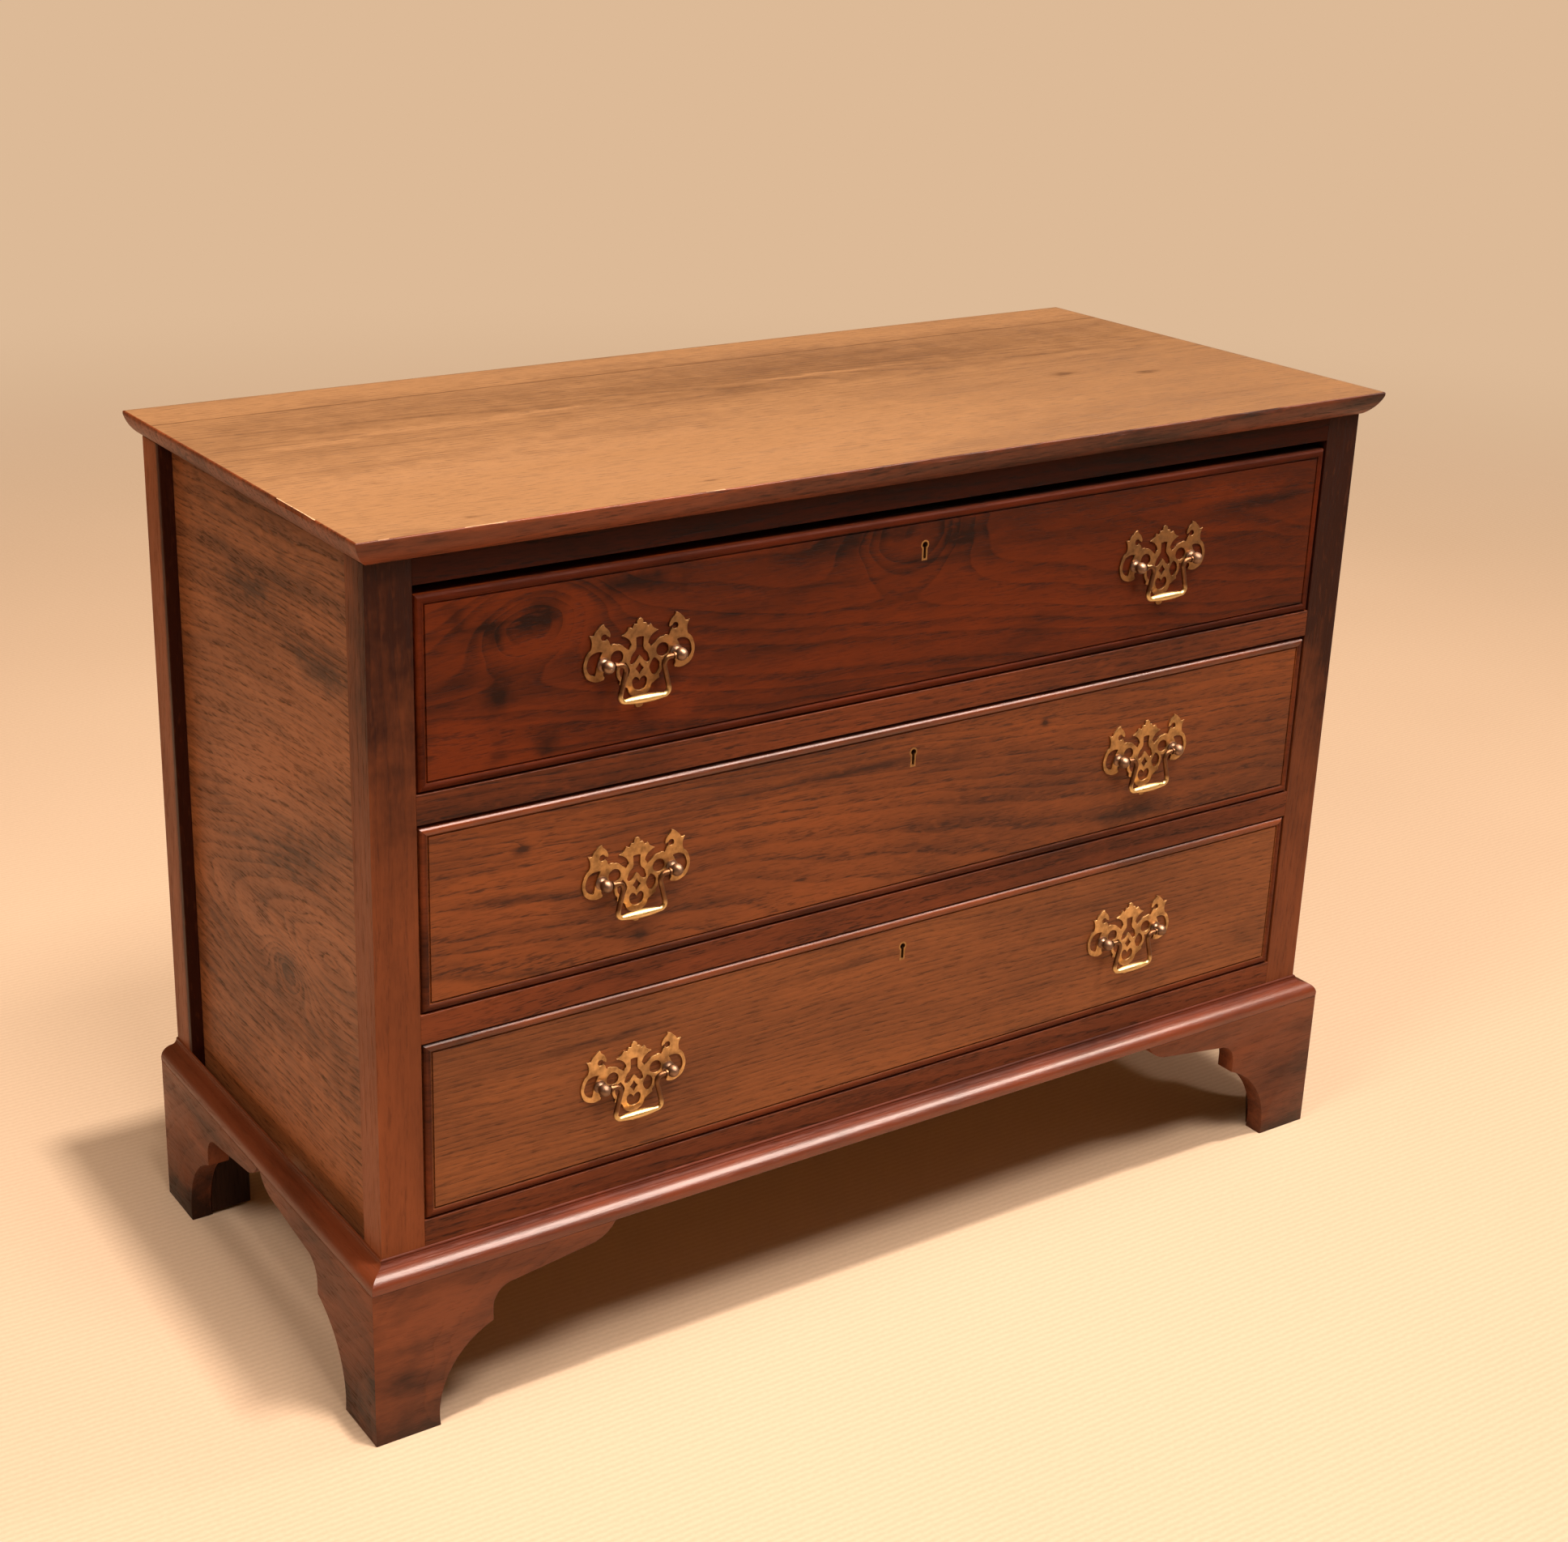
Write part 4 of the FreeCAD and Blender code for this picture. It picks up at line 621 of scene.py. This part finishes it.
# Turns go round the board from its front left corner, one to a side: across goes 0, 1, 1, 0 and deep
# 0, 0, 1, 1 at the corners.
turns = np.concatenate([np.linspace(0, 1, 121)[:-1], np.linspace(1, 2, 61)[:-1],
                        np.linspace(2, 3, 121)[:-1], np.linspace(3, 4, 61)[:-1]])
across = np.interp(turns, [0, 1, 2, 3, 4], [0, 1, 1, 0, 0])
deep = np.interp(turns, [0, 1, 2, 3, 4], [0, 0, 1, 1, 0])
knocks = np.random.default_rng(4).normal(size=turns.size)
knocks = np.convolve(np.concatenate([knocks[-4:], knocks, knocks[:4]]), np.hanning(9), "valid")
worn = 0.00022 * np.clip(knocks, 0, None) * ((down > 0.0002) & (down < 0.0034))[:, None]
inset, square, down = inset[:, None] + worn, square[:, None] + worn, down[:, None] + 0 * turns
top_rings = np.stack([low.x + inset + across * (high.x - low.x - 2 * inset),
                      low.y + inset + deep * (high.y - low.y - inset - square), high.z - down], -1)
top_piece = skin("top_board_worked", [(top_rings, edge_oak)], "top_board")
# The face is the cap and the ring next to it.
kinds = np.zeros(len(top_piece.data.polygons), int)
kinds[:turns.size] = 1
kinds[-2] = 1
# The arris is pale in spots, most of all near the front left corner.
pale = (knocks > 0.9) & (np.minimum(turns, 4 - turns) < 0.3)
for row in (1, 2, 3):
    kinds[row * turns.size:(row + 1) * turns.size][pale] = 2
refinish(top_piece, [top_oak, pale_arris_oak], kinds)

# ---------------------------------------------------------------- drawers
# Each drawer is dovetailed: an oak front with a bead worked round it, and plain oak sides, back and
# bottom. The front is stained and waxed like the case.
face = -0.211


def spot(x, z, width, height, strength, turned=0):
    """Patch on a drawer front's face."""
    return (x, face, z), (width, 1.0, height), (0, -turned, 0), strength


# The fronts grow darker from the bottom drawer to the top one: partly the boards' own colour and partly painted
# shade under the top's overhang. The beads darken the same way.
fronts = {
    "top": oak("front_oak_top", shade(103, 43, 14), shade(36, 13, 5), (0.0, -0.17, 0.69), lean=(0.04, 0.10),
               knots=[((-0.362, face, 0.668), 0.034), ((0.0, face, 0.685), 0.036)], ring=0.013,
               wander=0.05, mottle=0.7, pits=0.6, shine=0.12, patches=[
                   spot(-0.358, 0.671, 0.016, 0.010, 1.0), spot(-0.397, 0.664, 0.010, 0.016, 0.7, 30),
                   spot(-0.425, 0.674, 0.009, 0.016, 0.5, 25), spot(-0.280, 0.682, 0.045, 0.012, 0.7),
                   spot(-0.060, 0.690, 0.050, 0.010, 0.6), spot(0.040, 0.676, 0.026, 0.009, 0.8),
                   spot(-0.392, 0.612, 0.010, 0.014, 0.6), spot(-0.352, 0.567, 0.010, 0.009, 0.7),
                   spot(-0.392, 0.563, 0.010, 0.006, 0.5), spot(-0.364, 0.646, 0.024, 0.007, -1.0),
                   spot(-0.325, 0.660, 0.012, 0.016, -0.7), spot(-0.253, 0.572, 0.035, 0.014, -0.7),
                   spot(-0.424, 0.580, 0.030, 0.018, -0.7), spot(0.36, 0.676, 0.060, 0.008, -0.5)]),
    "middle": oak("front_oak_middle", shade(130, 71, 34), shade(58, 27, 12), (0.0, -0.12, 0.36),
                  lean=(-0.05, 0.02), knots=[((-0.372, face, 0.482), 0.006)], ring=0.008, wander=0.04,
                  lines=0.35, patches=[
                      spot(-0.372, 0.482, 0.008, 0.005, 1.1), spot(0.150, 0.491, 0.005, 0.003, 1.0),
                      spot(-0.265, 0.386, 0.011, 0.006, 0.9), spot(-0.060, 0.486, 0.110, 0.004, 0.5),
                      spot(-0.400, 0.382, 0.060, 0.004, 0.6, -12), spot(-0.360, 0.440, 0.080, 0.004, 0.5, -10),
                      spot(0.260, 0.380, 0.040, 0.012, 0.5), spot(-0.400, 0.430, 0.080, 0.040, -0.3)]),
    "bottom": oak("front_oak_bottom", shade(134, 80, 44), shade(62, 32, 17), (0.0, -0.16, 0.10),
                  lean=(0.02, 0.02), ring=0.005, lines=0.3, mottle=0.5, pits=0.6, patches=[
                      spot(-0.300, 0.300, 0.070, 0.004, 0.5), spot(-0.050, 0.306, 0.060, 0.004, 0.5),
                      spot(0.230, 0.300, 0.080, 0.005, 0.3), spot(0.420, 0.225, 0.030, 0.020, 0.3)])}
bead_oaks = {
    kind: oak(f"bead_oak_{kind}", light, shade(36, 14, 7), (0.0, -0.16, 0.10), lean=(0.02, 0.02),
              lines=lines, mottle=0.8, pits=pits, gloss=gloss, coat=coat, shine=shine)
    for kind, light, lines, pits, gloss, coat, shine in (
        ("top", shade(92, 37, 15), 0.05, 0.1, 0.55, 0.0, 0.05),
        ("middle", shade(126, 62, 31), 0.05, 0.1, 0.3, 0.15, 0.4),
        ("bottom", shade(128, 66, 35), 0.05, 0.1, 0.36, 0.08, 0.3),
        ("dull", shade(98, 46, 22), 0.2, 0.2, 0.5, 0.0, 0.1))}
# Bead from the outer edge to the groove, as distances in from the edge and out from the face.
bead = np.vstack([bow((0.0003, -0.0017), (0.0069, -0.0002), 0.0018, 12), [(0.0069, -0.0009), (0.0003, -0.0023)]])
inset, out = bead.T
for drawer, finish in fronts.items():
    front = f"drawer_{drawer}_front"
    eased(front, finish, 0.0005)
    low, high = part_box(front)
    stations = [(low.x, 1, low.z, 1), (high.x, -1, low.z, 1), (high.x, -1, high.z, -1), (low.x, 1, high.z, -1),
                (low.x, 1, low.z, 1)]
    rings = [np.stack([x + right * inset, low.y - out, z + up * inset], -1) for x, right, z, up in stations]
    worked = skin(f"drawer_{drawer}_bead", [(np.array(rings), bead_oaks[drawer])], front)
    if drawer != "top":
        # The upper bead, the third of the four, keeps the glossy finish, and the others get a darker, duller one:
        # the darker colour is painted shade on the sides and the bottom.
        kinds = np.ones(len(worked.data.polygons), int)
        kinds[2 * inset.size:3 * inset.size] = 0
        refinish(worked, [bead_oaks["dull"]], kinds)
    coat_node(plain_oak, *(f"drawer_{drawer}_{part}" for part in ("side_left", "side_right", "back", "bottom")))


# ---------------------------------------------------------------- handles
# Two cast brass backplates, four turned pommels on shanks with nuts behind, two swan-neck bails and a
# brass keyhole lining on each drawer, and an iron lock let in behind its front. The brass is old: gold
# where hands rub it and brown in the hollows.
def metal_face():
    """Face of old metal: how dull it is, its roughness with what the spots add, and its low lumps."""
    tree, given, result = group_tree("old_metal_face", [("Place", LEVEL), ("Roughness", 0.4)],
                                     ["Dull", "Rough", "Lumps"])
    spots = clouds(tree, given["Place"], 110.0, 3.0, 0.6)
    tree.links.new(ramp(tree, spots, 0.36, 0.8), result["Dull"])
    added = ramp(tree, spots, 0.35, 0.7, 0.0, 0.2)
    tree.links.new(sums(tree, "ADD", added, given["Roughness"]), result["Rough"])
    tree.links.new(clouds(tree, given["Place"], 150.0), result["Lumps"])
    return tree


cast_face = metal_face()


def old_metal(name, bright, dull, roughness, rubbed=None, fade=0.006):
    """Old metal, bright and dull in spots, or bright only under a height and dark above it."""
    finish, tree, shader = new_finish(name, Metallic=1.0)
    place = node(tree, "ShaderNodeTexCoord", out="Object")
    feeds = {"Place": place, "Roughness": roughness}
    share, rough, lumps = node(tree, "ShaderNodeGroup", feeds, node_tree=cast_face).node.outputs
    if rubbed:
        height = node(tree, "ShaderNodeSeparateXYZ", (place,), 2)
        share = sums(tree, "MULTIPLY_ADD", share, 0.3, ramp(tree, height, rubbed, rubbed + fade, 0.0, 0.9))
    tree.links.new(between(tree, share, bright, dull), shader["Base Color"])
    tree.links.new(rough, shader["Roughness"])
    bump = node(tree, "ShaderNodeBump", {"Strength": 0.5, "Distance": 0.0006, "Height": lumps})
    tree.links.new(bump, shader["Normal"])
    return finish


worn_brass = old_metal("pommel_brass", shade(140, 112, 92), shade(88, 66, 54), 0.38)
dark_brass = old_metal("escutcheon_brass", shade(168, 130, 84), shade(104, 74, 44), 0.4)
iron = old_metal("old_iron", shade(96, 88, 80), shade(58, 46, 38), 0.5)
# The plates darken from the bottom drawer to the top one: painted shade under the top's overhang.
for drawer, bright, dull in (("top", shade(160, 122, 82), shade(88, 60, 38)),
                             ("middle", shade(188, 148, 98), shade(102, 71, 43)),
                             ("bottom", shade(206, 166, 114), shade(116, 82, 50))):
    # A bail is bright gold on its grip, its lowest 6 mm, and dark above: partly wear where hands rub the grip,
    # partly painted dark reflection on the arms.
    grip_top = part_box(f"drawer_{drawer}_bail_left")[0].z + 0.006
    bail_brass = old_metal(f"bail_brass_{drawer}", shade(212, 182, 128), shade(104, 72, 50), 0.3, grip_top)
    coat_node(bail_brass, f"drawer_{drawer}_bail_left", f"drawer_{drawer}_bail_right")
    coat_node(worn_brass, f"drawer_{drawer}_pommels")
    coat_node(dark_brass, f"drawer_{drawer}_escutcheon")
    eased(f"drawer_{drawer}_plates", old_metal(f"cast_brass_{drawer}", bright, dull, 0.34), 0.0003)
    coat_node(iron, f"drawer_{drawer}_lock", f"drawer_{drawer}_lock_bolt")
